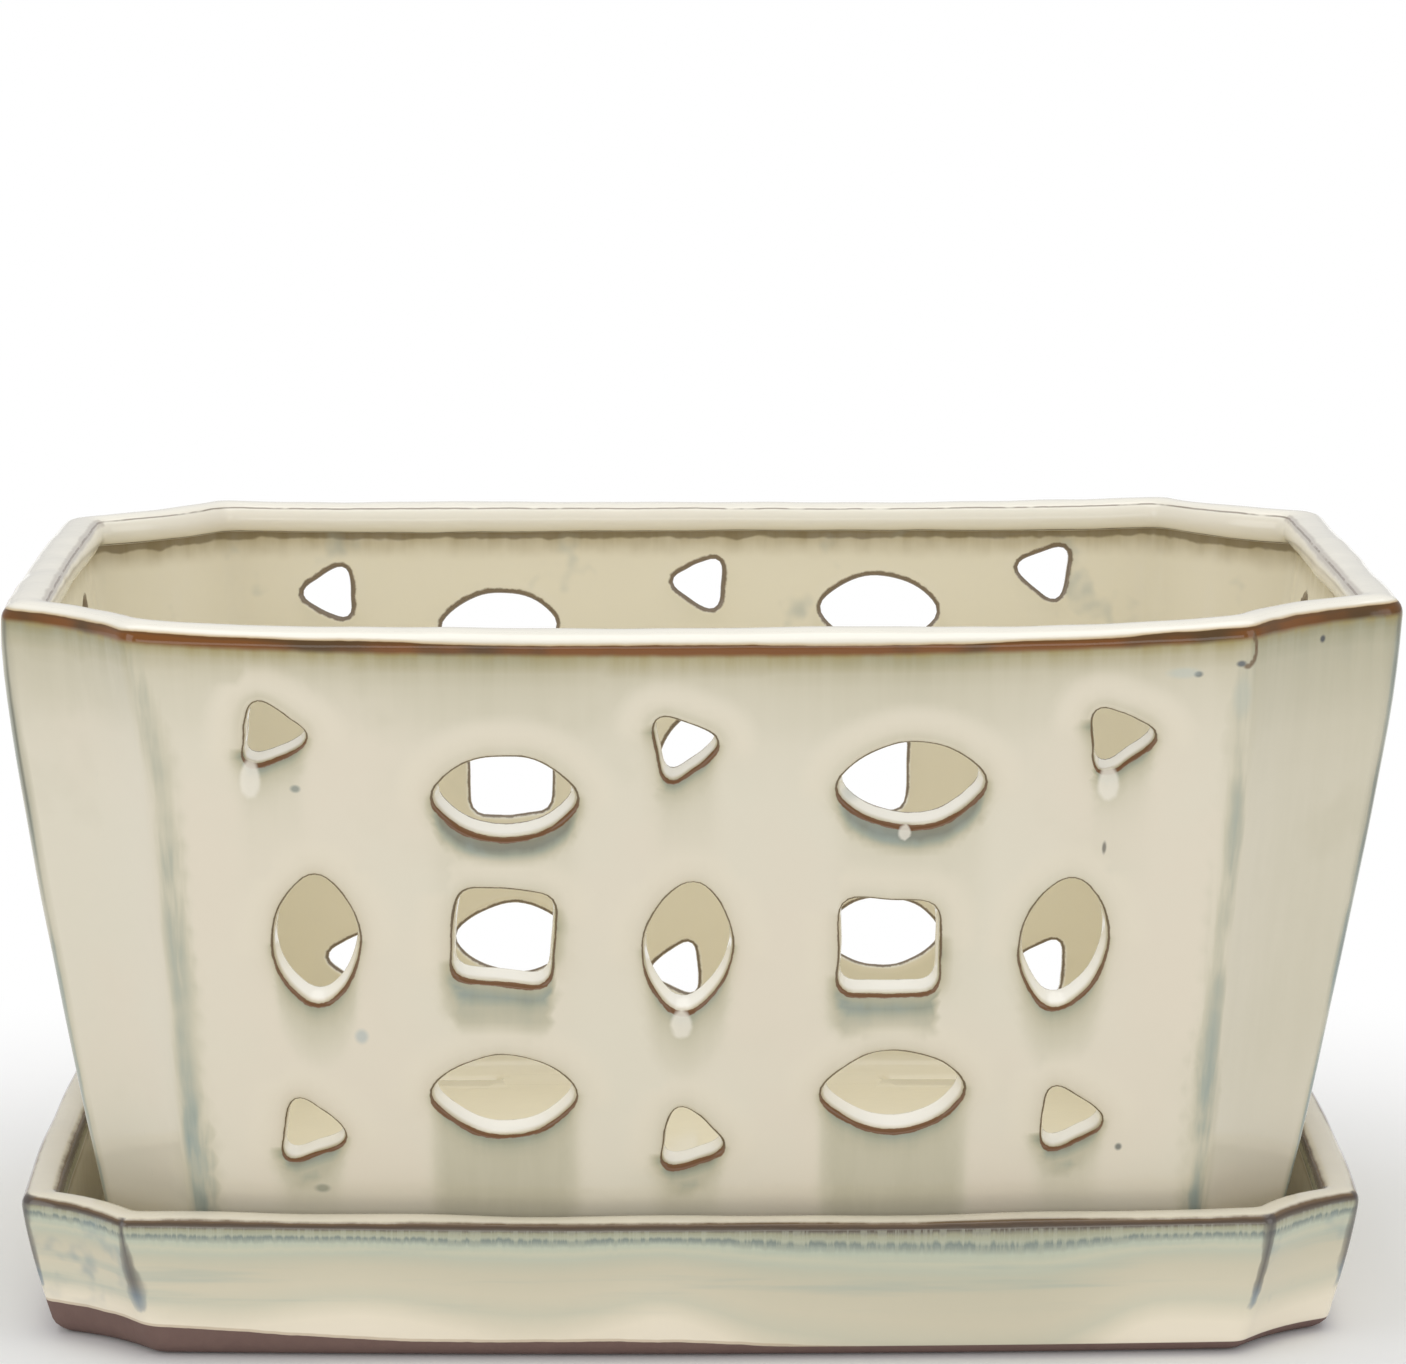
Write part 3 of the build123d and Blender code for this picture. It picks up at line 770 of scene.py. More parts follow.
def pot_masks(pts, vals):
    """What the glaze does at every point of the pot."""
    x, y, z, zone, depth, rim = pts[:, 0], pts[:, 1], vals["z"], vals["zone"], vals["depth"], vals["rim"]
    face = POT.face_of(vals["s"])
    t = np.choose(face // 2, [x, y, -x, -y])
    rolled = (zone == RIM) & (rim < RIM_LENGTH - 0.3)
    outer = (zone == OUTER) | ((zone == RIM) & (rim < 3.5)) | ((zone == CUT) & (depth < 1.0))
    inner = (zone == INNER) | ((zone == RIM) & (rim > RIM_LENGTH - 0.3)) | ((zone == CUT) & (depth > 4.2))
    pool, halo, fringe = np.zeros(len(pts)), np.zeros(len(pts)), np.zeros(len(pts))
    for side in range(4):
        m = np.where(outer & (face == 2 * side))[0]
        pool[m], halo[m], near = slot_shade(side, t[m], z[m])
        fringe[m] = 0.42 * np.exp(-near / 1.15)
        m = np.where(inner & (face == 2 * side))[0]
        deep, pale, near = slot_shade(side, t[m], z[m])
        pool[m], halo[m] = 0.4 * deep, 0.4 * pale
        fringe[m] = 0.7 * smoothstep(45, 95, z[m]) * np.exp(-near / 1.6)
    # the brown line of the rim runs lower on the crown towards the middle of the long sides
    dip = np.where((face == 0) | (face == 4), 1.25 * np.clip(1 - (x / WALLS[0].half) ** 2, 0, 1), 0.0)
    rim = np.where(zone == RIM, rim, np.where(zone == OUTER, z - OUT_HIGH, FAR))
    rim = np.where(depth < 4.5, rim + dip, rim)
    # the wall darkens below the rim, partly where the glaze runs thin and partly as painted shade under the
    # rim, most over the eyes and on the corners
    plain = (zone == OUTER) | ((zone == RIM) & (rim < 3.4))
    below = 2.8 - rim
    runs = np.interp(below, *RIM_RUNS_AND_SHADE) * np.where(face % 2 == 1, 1.25, 0.7 + 0.4 * hump(np.abs(t), 36, 18))
    # painted shade down the front right corner
    right_corner_shade = 0.13 * smoothstep(0, 8, below) * (1 - smoothstep(70, 100, below))
    runs = np.where(plain, runs + np.where(face == 1, right_corner_shade, 0.0), 0.0) * (1 - 0.9 * halo)
    olive = np.where(plain, np.exp(-np.clip(below - 0.8, 0, None) / 2.0), 0.0)
    # upright edges: faint above, darker below; the ends' edges stay dark all the way up
    crease, which = POT.edge_lines(vals["s"])
    share = pot_share(z)
    wide = np.where(which < 2, 2.7, 1.3)
    crease = crease - np.choose(which, (1.4, -0.6, 0, 0, 0, 0, 0, 0))
    grow = 0.31 + 0.5 * (1 - smoothstep(0.03, 0.5, share))
    strength = np.where((which % 4) > 1, np.where(which == 2, 0.85, 0.62), grow)
    edge = strength * hump(crease, 0.0, wide) * plain
    end_edge = hump(crease, np.where(which == 2, -0.4, 0.4), 0.8) * smoothstep(0.35, 0.75, share)
    drip = np.full(len(pts), -1.0)
    on_front = (y < 0) & (depth < 1.0) & (face == 0)
    for x0, z0, w, h in DRIPS:
        dx, dz = (x - x0) / w, (z - z0) / h
        narrow = np.where(dz > 0, 1 - 0.3 * np.clip(dz, 0, 1), 1.0)
        drip = np.maximum(drip, np.where(on_front, 1 - np.sqrt((dx / narrow) ** 2 + np.abs(dz) ** 2.6), -1))
    return {
        "pool": pool, "halo": halo, "fringe": fringe, "runs": runs, "olive": olive, "edge": edge,
        "end_edge": end_edge * (plain & ((which == 2) | (which == 7))), "drip": drip, "lip": vals["lip"],
        "inlip": vals["inlip"], "down": vals["down"], "rim": rim, "height": z, "around": vals["s"],
        "on_rim": rolled * 1.0,
        "ends": ((face == 2) | (face == 6)) * 1.0, "inside": (inner | (zone == FLOOR)) * 1.0,
        "cut": ((zone == CUT) & (depth > 1.1)) * 1.0,
    }


BOX_X, BOX_Y = 121.2, 74.2      # half sizes just inside the solids' box


def pot_displace(pts, normals, vals):
    """The glaze's gentle waves, its raised halos and drips, and the rim's own unevenness."""
    zone = vals["zone"]
    wave = 0.10 * smooth_noise(pts, 42.0, 3) + 0.045 * smooth_noise(pts, 17.0, 5) - 0.06
    gain = np.where(zone == DRAIN, 0.0, np.where(zone == UNDERSIDE, 0.3, 1.0))
    gain = np.where(pts[:, 2] < SEAT + 0.4, 0.0, gain)
    masks = pot_masks(pts, vals)
    lift = 0.14 * masks["halo"] + 0.55 * smoothstep(0.0, 0.75, masks["drip"])
    lift += np.where(zone == RIM, 0.05 * smooth_noise(pts, 13.0, 11), 0.0)
    moved = pts + normals * (wave * gain + lift)[:, None]
    return np.clip(moved, (-BOX_X, -BOX_Y, 0.0), (BOX_X, BOX_Y, TOP)) - pts


# Saucer
SAUCER_H, SAUCER_WALL, SAUCER_LEAN, SAUCER_FLOOR, FOOT_RECESS = 26.5, 5.5, 5.2, 7.0, 2.0
END_PLAY, SIDE_PLAY, SAUCER_ROUND, DISH_SAG_LOW = 3.5, 1.4, 1.6, 12.0
SAUCER_L = BASE_L + 2 * END_PLAY + 2 * SAUCER_WALL
SAUCER_W = BASE_W + 2 * SIDE_PLAY + 2 * SAUCER_WALL
SAUCER = Outline(
    (SAUCER_L, SAUCER_L + 2 * SAUCER_LEAN), (SAUCER_W, SAUCER_W + 2 * SAUCER_LEAN),
    ((17.0,) * 4, (17.0,) * 4), ((12.5,) * 4, (14.0,) * 4), (2.0, SHORT_BOW, 2.0, SHORT_BOW),
    SAUCER_ROUND, dish_warp)
# depth in the wall and height, from under the floor round the foot ring, the wall and the rim to the floor
SAUCER_PROFILE = {
    UNDERSIDE: [
        (8.6, 2.0), (8.1, 1.75), (8.0, 1.2), (7.9, 0.4), (7.5, 0.08), (6.8, 0.0), (5.2, 0.0), (3.4, 0.0),
        (2.6, 0.06), (1.55, 0.38), (0.78, 0.96)],
    OUTER: [
        (0.22, 1.75), *((0.0, z) for z in (
            2.7, 3.6, 4.5, 5.6, 7.4, 9.6, 12.0, 14.5, 17.0, 19.2, 21.0, 22.4, 23.4))],
    RIM: [
        (0.03, 24.2), (0.16, 24.85), (0.42, 25.4), (0.8, 25.85), (1.35, 26.2), (2.1, 26.42), (3.2, 26.5),
        (4.3, 26.46), (5.1, 26.3), (5.8, 26.0), (6.35, 25.5), (6.75, 24.9), (6.95, 24.1)],
    INNER: [
        (6.95, 22.8), (6.85, 20.5), (6.6, 17.5), (6.3, 14.0), (5.95, 11.4), (6.0, 10.0), (6.35, 8.9),
        (7.0, 7.95), (7.9, 7.3), (9.0, SAUCER_FLOOR)],
    FLOOR: [(10.5, SAUCER_FLOOR)],
}
saucer = Maker()
dish_s = ring_positions(SAUCER, 3.0)


def dish_row(z, depth, zone):
    """One row round the saucer, whose rim sags a little in the middle."""
    xy = SAUCER.xy(dish_s, z / SAUCER_H, depth)
    lift = np.clip((z - DISH_SAG_LOW) / (SAUCER_H - DISH_SAG_LOW), 0, 1)
    sag = 0.55 * np.clip(1 - (xy[:, 0] / 90.0) ** 2, 0, 1)
    return saucer.add(np.column_stack([xy, z - lift * sag]), s=dish_s, z=z, depth=depth, zone=zone)


dish_rows = [dish_row(z, depth, zone) for zone, rows in SAUCER_PROFILE.items() for depth, z in rows]
saucer.strips(dish_rows)
flat_region(saucer, dish_rows[-1], SAUCER_FLOOR, [], 6.0, False, zone=FLOOR)
flat_region(saucer, dish_rows[0], FOOT_RECESS, [], 8.0, True, zone=UNDERSIDE)


def saucer_masks(pts, vals):
    """What the glaze does at every point of the saucer."""
    x, y, z = pts[:, 0], pts[:, 1], vals["z"]
    crease, which = SAUCER.edge_lines(vals["s"])
    # the bands of colour under the rim are spread wider on the right of the front, and wander
    flat = pts * np.array([1.0, 1.0, 0.0])
    spread = 1.0 + 0.55 * smoothstep(-10.0, 15.0, x) * (1 - smoothstep(55.0, 80.0, x)) * (y < 0)
    spread = spread + 0.12 * smooth_noise(flat, 60.0, 41)
    level = 25.2 - (25.2 - z) / spread + 0.12 * smooth_noise(flat, 34.0, 43)
    # the bare clay reaches higher on the left of the front
    clay = 1.2 + 2.9 * (1 - smoothstep(-112.0, -40.0, x)) + 2.0 * (1 - smoothstep(-30.0, 75.0, x))
    clay = clay + (3.0 - clay) * smoothstep(-50.0, 50.0, y) + 0.35 * smooth_noise(flat, 50.0, 47)
    wide = np.where(which < 2, 1.5, 1.8) * (1 + 0.35 * smooth_noise(pts, 16.0, 53))
    return {
        "streak": hump(crease, 0.0, wide) * smoothstep(6.5, 11.0, z), "zone": vals["zone"], "height": z,
        "level": level, "clay": clay, "corner": SAUCER.face_of(vals["s"]) % 2 * 1.0, "depth": vals["depth"],
    }


def saucer_displace(pts, normals, vals):
    """The glaze's gentle waves, away from the faces that the pot and the table touch."""
    zone, z = vals["zone"], pts[:, 2]
    wave = 0.10 * smooth_noise(pts, 38.0, 23) + 0.05 * smooth_noise(pts, 15.0, 29) - 0.06
    level = (zone == UNDERSIDE) | (zone == FLOOR) | ((zone == INNER) & (z < SAUCER_FLOOR + 1.0))
    out = normals * (wave * np.where(level, 0.0, smoothstep(2.0, 6.0, z)))[:, None]
    out[:, 2] = np.minimum(out[:, 2], SAUCER_H - z)
    return out


def build_object(name, maker, body, node, masks, displace):
    """Makes the mesh, moves its points along their normals and stores the glaze's values on them."""
    pts, vals = maker.arrays()
    mesh = bpy.data.meshes.new(name)
    mesh.from_pydata([tuple(p * MM) for p in pts], [], [tuple(int(i) for i in f) for f in maker.faces])
    mesh.validate(clean_customdata=False)
    mesh.update()
    normals = np.zeros(len(pts) * 3)
    mesh.vertices.foreach_get("normal", normals)
    moved = pts + displace(pts, normals.reshape(-1, 3), vals)
    mesh.vertices.foreach_set("co", (moved * MM).ravel())
    for key, arr in masks(pts, vals).items():
        layer = mesh.attributes.new(key, "FLOAT", "POINT")
        layer.data.foreach_set("value", np.ascontiguousarray(arr, dtype=np.float32))
    mesh.polygons.foreach_set("use_smooth", np.ones(len(mesh.polygons), bool))
    mesh.update()
    obj = bpy.data.objects.new(name, mesh)
    bpy.context.scene.collection.objects.link(obj)
    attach(obj, body)
    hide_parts(node)
    return obj


pot_obj = build_object("pot_glazed", pot, "pot", "pot", pot_masks, pot_displace)
saucer_obj = build_object(
    "saucer_glazed", saucer, "saucer", "saucer", saucer_masks, saucer_displace)


# Materials
def rgb(r, g, b):
    """Linear colour of a display colour given in 0 to 255."""
    parts = [v / 255.0 for v in (r, g, b)]
    return (*(v / 12.92 if v <= 0.04045 else ((v + 0.055) / 1.055) ** 2.4 for v in parts), 1.0)


class Value:
    """A number or colour that a node gives, which works in sums."""

    def __init__(self, nodes, socket):
        self.nodes, self.socket = nodes, socket

    def sum(self, operation, other=0.0):
        return self.nodes.add("Math", {0: self, 1: other}, operation=operation)

    __add__, __sub__ = partialmethod(sum, "ADD"), partialmethod(sum, "SUBTRACT")
    __mul__, __truediv__ = partialmethod(sum, "MULTIPLY"), partialmethod(sum, "DIVIDE")
    __abs__, most = partialmethod(sum, "ABSOLUTE"), partialmethod(sum, "MAXIMUM")

    def ramp(self, lo, hi, at_lo=0.0, at_hi=1.0, kind="SMOOTHSTEP"):
        """Runs from one number to the other while this value runs from lo to hi."""
        ends = {"Value": self, "From Min": lo, "From Max": hi, "To Min": at_lo, "To Max": at_hi}
        return self.nodes.add("MapRange", ends, interpolation_type=kind)

    def fall(self, lo, hi):
        """Falls from 1 to 0 while this value runs from lo to hi."""
        return self.ramp(lo, hi, 1.0, 0.0)

    def band(self, lo, hi, soft):
        """1 between lo and hi, falling off over soft on both sides."""
        return self.ramp(lo - soft, lo) * self.fall(hi, hi + soft)


class Nodes:
    """Short names for making the nodes of one material or world."""

    def __init__(self, tree):
        self.tree = tree
        self.colour = None

    def feed(self, value, socket):
        """Links a value to a socket, or sets a plain number or tuple on it."""
        if isinstance(value, Value):
            self.tree.links.new(value.socket, socket)
        else:
            socket.default_value = value

    def add(self, kind, inputs, output=0, **settings):
        node = self.tree.nodes.new("ShaderNode" + kind)
        for name, setting in settings.items():
            setattr(node, name, setting)
        for key, value in inputs.items():
            self.feed(value, node.inputs[key])
        return Value(self, node.outputs[output])

    def attributes(self, names):
        return [self.add("Attribute", {}, "Fac", attribute_name=name) for name in names.split()]

    def place(self, scale):
        return self.add("Mapping", {"Vector": self.add("TexCoord", {}, "Object"), "Scale": scale})

    def noise(self, scale, detail=3.0, rough=0.5, stretch=(1, 1, 1)):
        inputs = {"Vector": self.place(stretch), "Scale": scale, "Detail": detail, "Roughness": rough}
        return self.add("TexNoise", inputs, "Fac")

    def mix(self, amount, a, b):
        a, b = (rgb(*tone) if isinstance(tone, tuple) else tone for tone in (a, b))
        return self.add("Mix", {0: amount, 6: a, 7: b}, 2, data_type="RGBA", clamp_factor=True)

    def paint(self, amount, tone):
        """Lays a tone over the colour so far."""
        self.colour = self.mix(amount, self.colour, tone)

    def stops(self, value, colours):
        """Colour that runs through a list of (place, red, green, blue)."""
        out = self.add("ValToRGB", {0: value})
        ends = out.socket.node.color_ramp.elements
        for end, (place, *tone) in zip(ends, (colours[0], colours[-1])):
            end.position, end.color = place, rgb(*tone)
        for place, *tone in colours[1:-1]:
            ends.new(place).color = rgb(*tone)
        return out

    def spot(self, around, height, place, level, wide, tall):
        """Small oval mark at a place round the object and a height, in millimetres."""
        dx, dz = (around - place) / wide, (height - level) / tall
        return (dx * dx + dz * dz).sum("SQRT").fall(0.5, 1.5)

    def bump(self, height, distance, strength, **normal):
        return self.add("Bump", {"Strength": strength, "Distance": distance, "Height": height, **normal})


def new_material(name):
    """An empty material with one shader, and its node maker."""
    mat = bpy.data.materials.new(name)
    mat.use_nodes = True
    mat.node_tree.nodes.clear()
    nodes = Nodes(mat.node_tree)
    out = mat.node_tree.nodes.new("ShaderNodeOutputMaterial")
    shader = mat.node_tree.nodes.new("ShaderNodeBsdfPrincipled")
    mat.node_tree.links.new(shader.outputs[0], out.inputs[0])
    return mat, nodes, shader, out


def finish_glaze(m, shader, bare, clay_roughness, grain, grain_height, grain_strength):
    """Glossy glaze with soft waves, matt where the clay is bare, and a fine grain over it."""
    m.feed(m.colour, shader.inputs["Base Color"])
    m.feed(bare.ramp(0.0, 1.0, 0.09, clay_roughness, "LINEAR"), shader.inputs["Roughness"])
    shader.inputs["IOR"].default_value = 1.52
    waves = m.bump(m.noise(120.0, 2.0), 0.00014, 0.5)
    m.feed(m.bump(grain, grain_height, grain_strength, Normal=waves), shader.inputs["Normal"])


# the rim's white is partly its glaze and partly a painted highlight
CREAM, PINKISH, RIM_WHITE_AND_HIGHLIGHT = (224, 217, 197), (226, 216, 196), (247, 243, 231)
BROWN, DARK = (122, 72, 16), (84, 59, 25)
# how thin glaze turns from cream to olive, then grey-green and slate as it pools
GLAZE = [
    (0.0, 224, 217, 197), (0.16, 210, 203, 180), (0.35, 194, 188, 163), (0.7, 156, 160, 142),
    (1.0, 126, 128, 116),
]
# small marks in the glaze of the front: place, height, half width, half height, colour, strength
MARKS = [
    (-67.4, 101.6, 0.8, 0.6, (130, 138, 130), 0.8), (-57.2, 57.6, 1.1, 1.2, (160, 176, 178), 0.55),
    (83.0, 121.3, 0.7, 0.5, (86, 96, 98), 0.8), (80.6, 121.6, 2.6, 0.9, (186, 196, 190), 0.45),
    (90.2, 122.8, 0.8, 0.5, (82, 90, 98), 0.85), (68.0, 91.0, 0.35, 1.0, (96, 92, 84), 0.8),
    (72.0, 36.7, 0.6, 0.6, (110, 112, 104), 0.9), (-64.6, 29.4, 1.3, 0.7, (120, 126, 110), 0.6),
    (-27.4, 78.0, 0.5, 0.5, (150, 140, 120), 0.7), (27.0, 100.5, 2.6, 1.2, (176, 186, 182), 0.4),
    (90.6, 117.0, 1.6, 3.2, (188, 192, 178), 0.5),
]
# a brown hook under the rim's right corner: distance past the corner's edge, height, half width, half height
HOOK = [(0.3, 127.2, 0.45, 0.9), (0.75, 125.9, 0.38, 1.0), (0.8, 124.6, 0.38, 1.0), (0.45, 123.5, 0.42, 0.7),
        (-0.1, 122.8, 0.5, 0.5), (-0.9, 122.3, 0.8, 0.45)]
CORNER_SPECK = (0.52, 124.4, 0.6, 0.6)      # share of the right front corner's width, height, half sizes


def paint_pot_body(m, height, halo, inside, broad, streak, patch, wobble):
    """Cream glaze, thinner and greener where it pools, with blue in the deepest pools; painted shade under
    the rim and on the front right corner, and painted light inside and near the foot.
    """
    edge, pool, runs, fringe, olive, end_edge = m.attributes("edge pool runs fringe olive end_edge")
    edge = edge * streak.ramp(0.3, 0.62, 0.55, 1.25) * patch.ramp(0.3, 0.6, 0.6, 1.15)
    # runs holds thin glaze and painted shade under the rim, and painted shade on the front right corner
    deep = (pool * streak.ramp(0.3, 0.7, 0.93, 1.07)).most(runs * streak.ramp(0.25, 0.75, 0.92, 1.09))
    deep = deep.most(edge) + patch.ramp(0.55, 0.75) * 0.05
    m.colour = m.stops(deep, GLAZE)
    m.paint(broad.ramp(0.4, 0.7) * deep.fall(0.0, 0.2), PINKISH)
    m.paint(deep.ramp(0.34, 0.8) * m.noise(95.0, 3.0, 0.6).ramp(0.42, 0.66) * 0.45, (148, 164, 162))
    m.paint(edge.ramp(0.12, 0.5) * 0.4, (152, 170, 168))
    m.paint(halo * 0.7, (228, 219, 198))
    # painted light: paler cream near the foot, less where the glaze pools deep, against the shade from the
    # saucer
    m.paint(height.ramp(SEAT + 5.0, SEAT + 26.0, 0.75, 0.0) * deep.ramp(0.1, 0.6, 1.0, 0.3), (252, 243, 219))
    # olive fringe round the slots and under the rim, and dark edges at the ends
    m.paint(fringe.most(olive * 0.9) * streak.ramp(0.3, 0.7, 0.75, 1.15), (160, 144, 88))
    m.paint(end_edge * patch.ramp(0.3, 0.6, 0.4, 0.9), (88, 84, 62))
    # inside, a warmer cream painted paler as light against the shade inside the pot, an olive band at the
    # top that is partly glaze and partly painted shadow under the bead, and a few blue smudges
    m.paint(inside * 0.85, (243, 236, 213))
    sunk = height + wobble * 2.4
    band = inside * sunk.ramp(IN_HIGH - 6.0, IN_HIGH) * streak.ramp(0.3, 0.7, 0.8, 1.1)
    # painted shadow under the bead's overhang, partly olive glaze
    m.paint(band * 0.7, (160, 142, 96))
    # painted shadow: a dark line just under the bead
    m.paint(inside * sunk.ramp(IN_HIGH - 1.5, IN_HIGH - 0.9) * 0.6, (92, 72, 36))
    smudge = inside * m.noise(60.0, 3.0, 0.6).ramp(0.57, 0.72) * height.ramp(60.0, 110.0)
    m.paint(smudge * 0.5, (168, 178, 172))


def paint_pot_rim(m, rim, on_rim, ragged, wobble):
    """The rolled rim is whiter, partly white glaze and partly painted highlight, with a brown line along its
    outer edge, a thin broken line on its bead and a painted shadow line under the bead.
    """
    # painted highlight over white glaze: the crown is painted whiter, the bead a little less
    m.paint(rim.ramp(3.9, 5.4) * on_rim * rim.ramp(9.0, 13.0, 0.95, 0.6), RIM_WHITE_AND_HIGHLIGHT)
    wide = m.noise(1.0, 2.0, stretch=(26.0, 26.0, 26.0)).ramp(0.35, 0.65, 0.5, 0.95)
    off = rim - 3.25 + wobble * 0.5
    m.paint(off.fall(wide, wide + 0.95) * off.ramp(-1.0, 0.0) * on_rim * 0.75, (186, 152, 92))
    tone = m.mix(m.noise(1.0, 2.0, stretch=(60.0, 60.0, 60.0)).ramp(0.45, 0.66), BROWN, DARK)
    tone = m.mix(off.ramp(0.2, 0.7) * 0.5, tone, DARK)
    m.paint(off.fall(wide, wide + 0.25) * off.ramp(-1.75, -0.55) * on_rim, tone)
    top_line = (rim + wobble * 0.5).band(11.35, 11.6, 0.16) * ragged.ramp(0.3, 0.5, 0.15, 0.7)
    # painted shadow: a dark line at the foot of the bead, where it overhangs the inside wall
    bead_shadow_line = (rim + wobble * 0.9).band(17.7, 18.4, 0.3)
    # one dark tone for the real broken line on the bead and the painted shadow line under it
    m.paint(top_line.most(bead_shadow_line * 0.9) * on_rim, (96, 78, 58))
    ends = m.attributes("ends")[0]
    m.paint(ends * on_rim * (rim + wobble).band(10.9, 11.9, 0.7) * 0.45, (150, 136, 128))


def paint_slots(m, height):
    """A brown line where the glaze breaks on a slot's outer edge, wider below, and cut faces painted light,
    lightest on the sills as a painted highlight.
    """
    cut, down, lip, inlip = m.attributes("cut down lip inlip")
    jag = m.noise(620.0, 3.0, 0.6) - 0.5
    # painted light and highlight over cream glaze: near white on the sills, half as much on the other cut
    # faces
    m.paint(cut * down.ramp(-0.4, 0.5, 0.5, 1.0), (253, 250, 240))
    width = down.ramp(-0.1, 0.9, 0.14, 0.36) * m.noise(150.0, 2.0).ramp(0.3, 0.7, 0.6, 1.4)
    line = abs(lip + jag * 0.45).fall(width, width + 0.2)
    m.paint(line * 0.92, m.mix(down.ramp(-0.3, 0.7), (94, 76, 46), (108, 64, 20)))
    wider = height.ramp(70.0, 100.0, 0.2, 0.6)
    m.paint(abs(inlip + jag * 0.8).fall(wider, wider + 0.45) * 0.85, (98, 72, 34))


def paint_pot_marks(m, height):
    """White drips, the hook and small marks."""
    drip, around = m.attributes("drip around")
    m.paint(drip.ramp(0.0, 0.4) * 0.75, (238, 232, 217))
    corner = float(POT.starts[1])
    for off, *mark in HOOK:
        m.paint(m.spot(around, height, corner + off, *mark) * 0.8, (104, 76, 44))
    for x, level, w, h, shade, amount in MARKS:
        m.paint(m.spot(around, height, front_s(x, level), level, w, h) * amount, shade)
    share, *mark = CORNER_SPECK
    m.paint(m.spot(around, height, corner + share * float(POT.runs[1]), *mark) * 0.95, (70, 72, 74))


def pot_material():
    mat, m, shader, _ = new_material("pot_glaze")
    height, halo, inside, rim, on_rim = m.attributes("height halo inside rim on_rim")
    broad, patch, ragged = m.noise(22.0), m.noise(46.0, 3.0, 0.55), m.noise(190.0, 2.0)
    streak = m.noise(1.0, 3.0, 0.55, stretch=(330.0, 330.0, 15.0))
    wobble = ragged - 0.5
    paint_pot_body(m, height, halo, inside, broad, streak, patch, wobble)
    paint_pot_rim(m, rim, on_rim, ragged, wobble)
    paint_slots(m, height)
    paint_pot_marks(m, height)
    bare = height.fall(SEAT + 0.5, SEAT + 0.9)
    m.paint(bare, (126, 96, 84))
    finish_glaze(m, shader, bare, 0.75, m.noise(800.0, 2.0), 0.00003, 0.3)
    return mat


# bands of colour up the saucer's wall: height, red, green, blue; the glaze's colours painted lighter, as
# painted light on the wall, which leans out and faces a little down
BANDS_PAINTED_LIGHTER = [
    (5.0, 248, 238, 217), (7.5, 245, 235, 213), (9.7, 230, 222, 199), (11.5, 215, 211, 189),
    (14.3, 218, 210, 186), (17.7, 210, 203, 179), (19.5, 200, 198, 176), (20.3, 196, 198, 178),
    (21.2, 204, 203, 180), (22.2, 192, 198, 178), (22.9, 150, 158, 147), (23.3, 132, 142, 134),
    (23.8, 176, 178, 155), (24.4, 162, 160, 134), (24.9, 104, 96, 84), (25.4, 84, 68, 54),
    (25.85, 116, 94, 68), (26.2, 230, 222, 200), (26.5, 238, 230, 210),
]
BAND_TOP = 27.0


def saucer_material():
    mat, m, shader, _ = new_material("saucer_glaze")
    height, zone, level, streak = m.attributes("height zone level streak")
    corner, clay_top, depth = m.attributes("corner clay depth")
    ticks = m.noise(1.0, 3.0, 0.6, stretch=(900.0, 900.0, 40.0))
    wobble = m.noise(190.0, 2.0) - 0.5
    outside = zone.ramp(1.4, 1.6, 1.0, 0.0, "LINEAR")
    inside = zone.ramp(1.6, 1.9, kind="LINEAR")
    # the wall's bands of glaze, painted lighter as light on the down-facing wall, combed by fine upright
    # ticks near the rim
    comb = (ticks - 0.5) * height.ramp(18.0, 23.0) * height.ramp(24.0, 25.2, 1.0, 0.1) * 1.5
    bands = m.stops((level + wobble * 0.4 + comb) / BAND_TOP, [(z / BAND_TOP, *tone) for z, *tone in BANDS_PAINTED_LIGHTER])
    m.colour = m.mix(outside, m.mix(m.noise(26.0).ramp(0.4, 0.7), CREAM, PINKISH), bands)
    comb = ticks.ramp(0.46, 0.6) * outside * level.ramp(21.0, 23.0) * height.fall(24.6, 25.1)
    m.paint(comb * 0.42, (192, 194, 172))
    # faint level bands of blue-green, and blue smudges on the corners
    across = m.noise(1.0, 3.0, 0.6, stretch=(16.0, 16.0, 240.0))
    wash = outside * height.ramp(8.0, 12.0) * height.fall(21.0, 23.0)
    m.paint(wash * across.ramp(0.5, 0.72) * 0.5, (172, 184, 172))
    smudge = corner * outside * height.ramp(5.0, 12.0) * height.fall(24.6, 25.4)
    m.paint(smudge * m.noise(70.0, 3.0, 0.6).ramp(0.46, 0.64) * 0.75, (138, 156, 162))
    # dark broken streaks down the upright edges, blue at their foot
    dark = streak * outside * (streak + wobble * 1.2).ramp(0.3, 0.6) * height.fall(26.0, 26.3)
    m.paint(dark * 0.85, m.mix(height.ramp(10.0, 15.0), (104, 126, 146), (84, 78, 76)))
    # pale top, warmer inside with a soft line under the rim
    m.paint(height.ramp(26.1, 26.35) * 0.8, (238, 231, 213))
    m.paint(inside * height.ramp(2.6, 3.4) * 0.6, (232, 224, 198))
    m.paint(inside * (height + wobble).band(23.0, 24.0, 1.2) * 0.5, (150, 140, 116))
    # bare clay foot with a tan line above it
    rise = height - clay_top + wobble * 0.5
    bare = rise.fall(-0.05, 0.12) * depth.fall(7.9, 8.3)
    bare = bare.most(height.fall(2.2, 2.4))
    m.paint(rise.band(0.1, 0.4, 0.3) * outside * 0.5, (186, 160, 128))
    m.paint(bare, m.mix(m.noise(300.0, 4.0, 0.6), (108, 84, 78), (122, 98, 90)))
    finish_glaze(m, shader, bare, 0.8, m.noise(1400.0, 3.0) * bare, 0.00015, 0.6)
    return mat


pot_obj.data.materials.append(pot_material())
saucer_obj.data.materials.append(saucer_material())


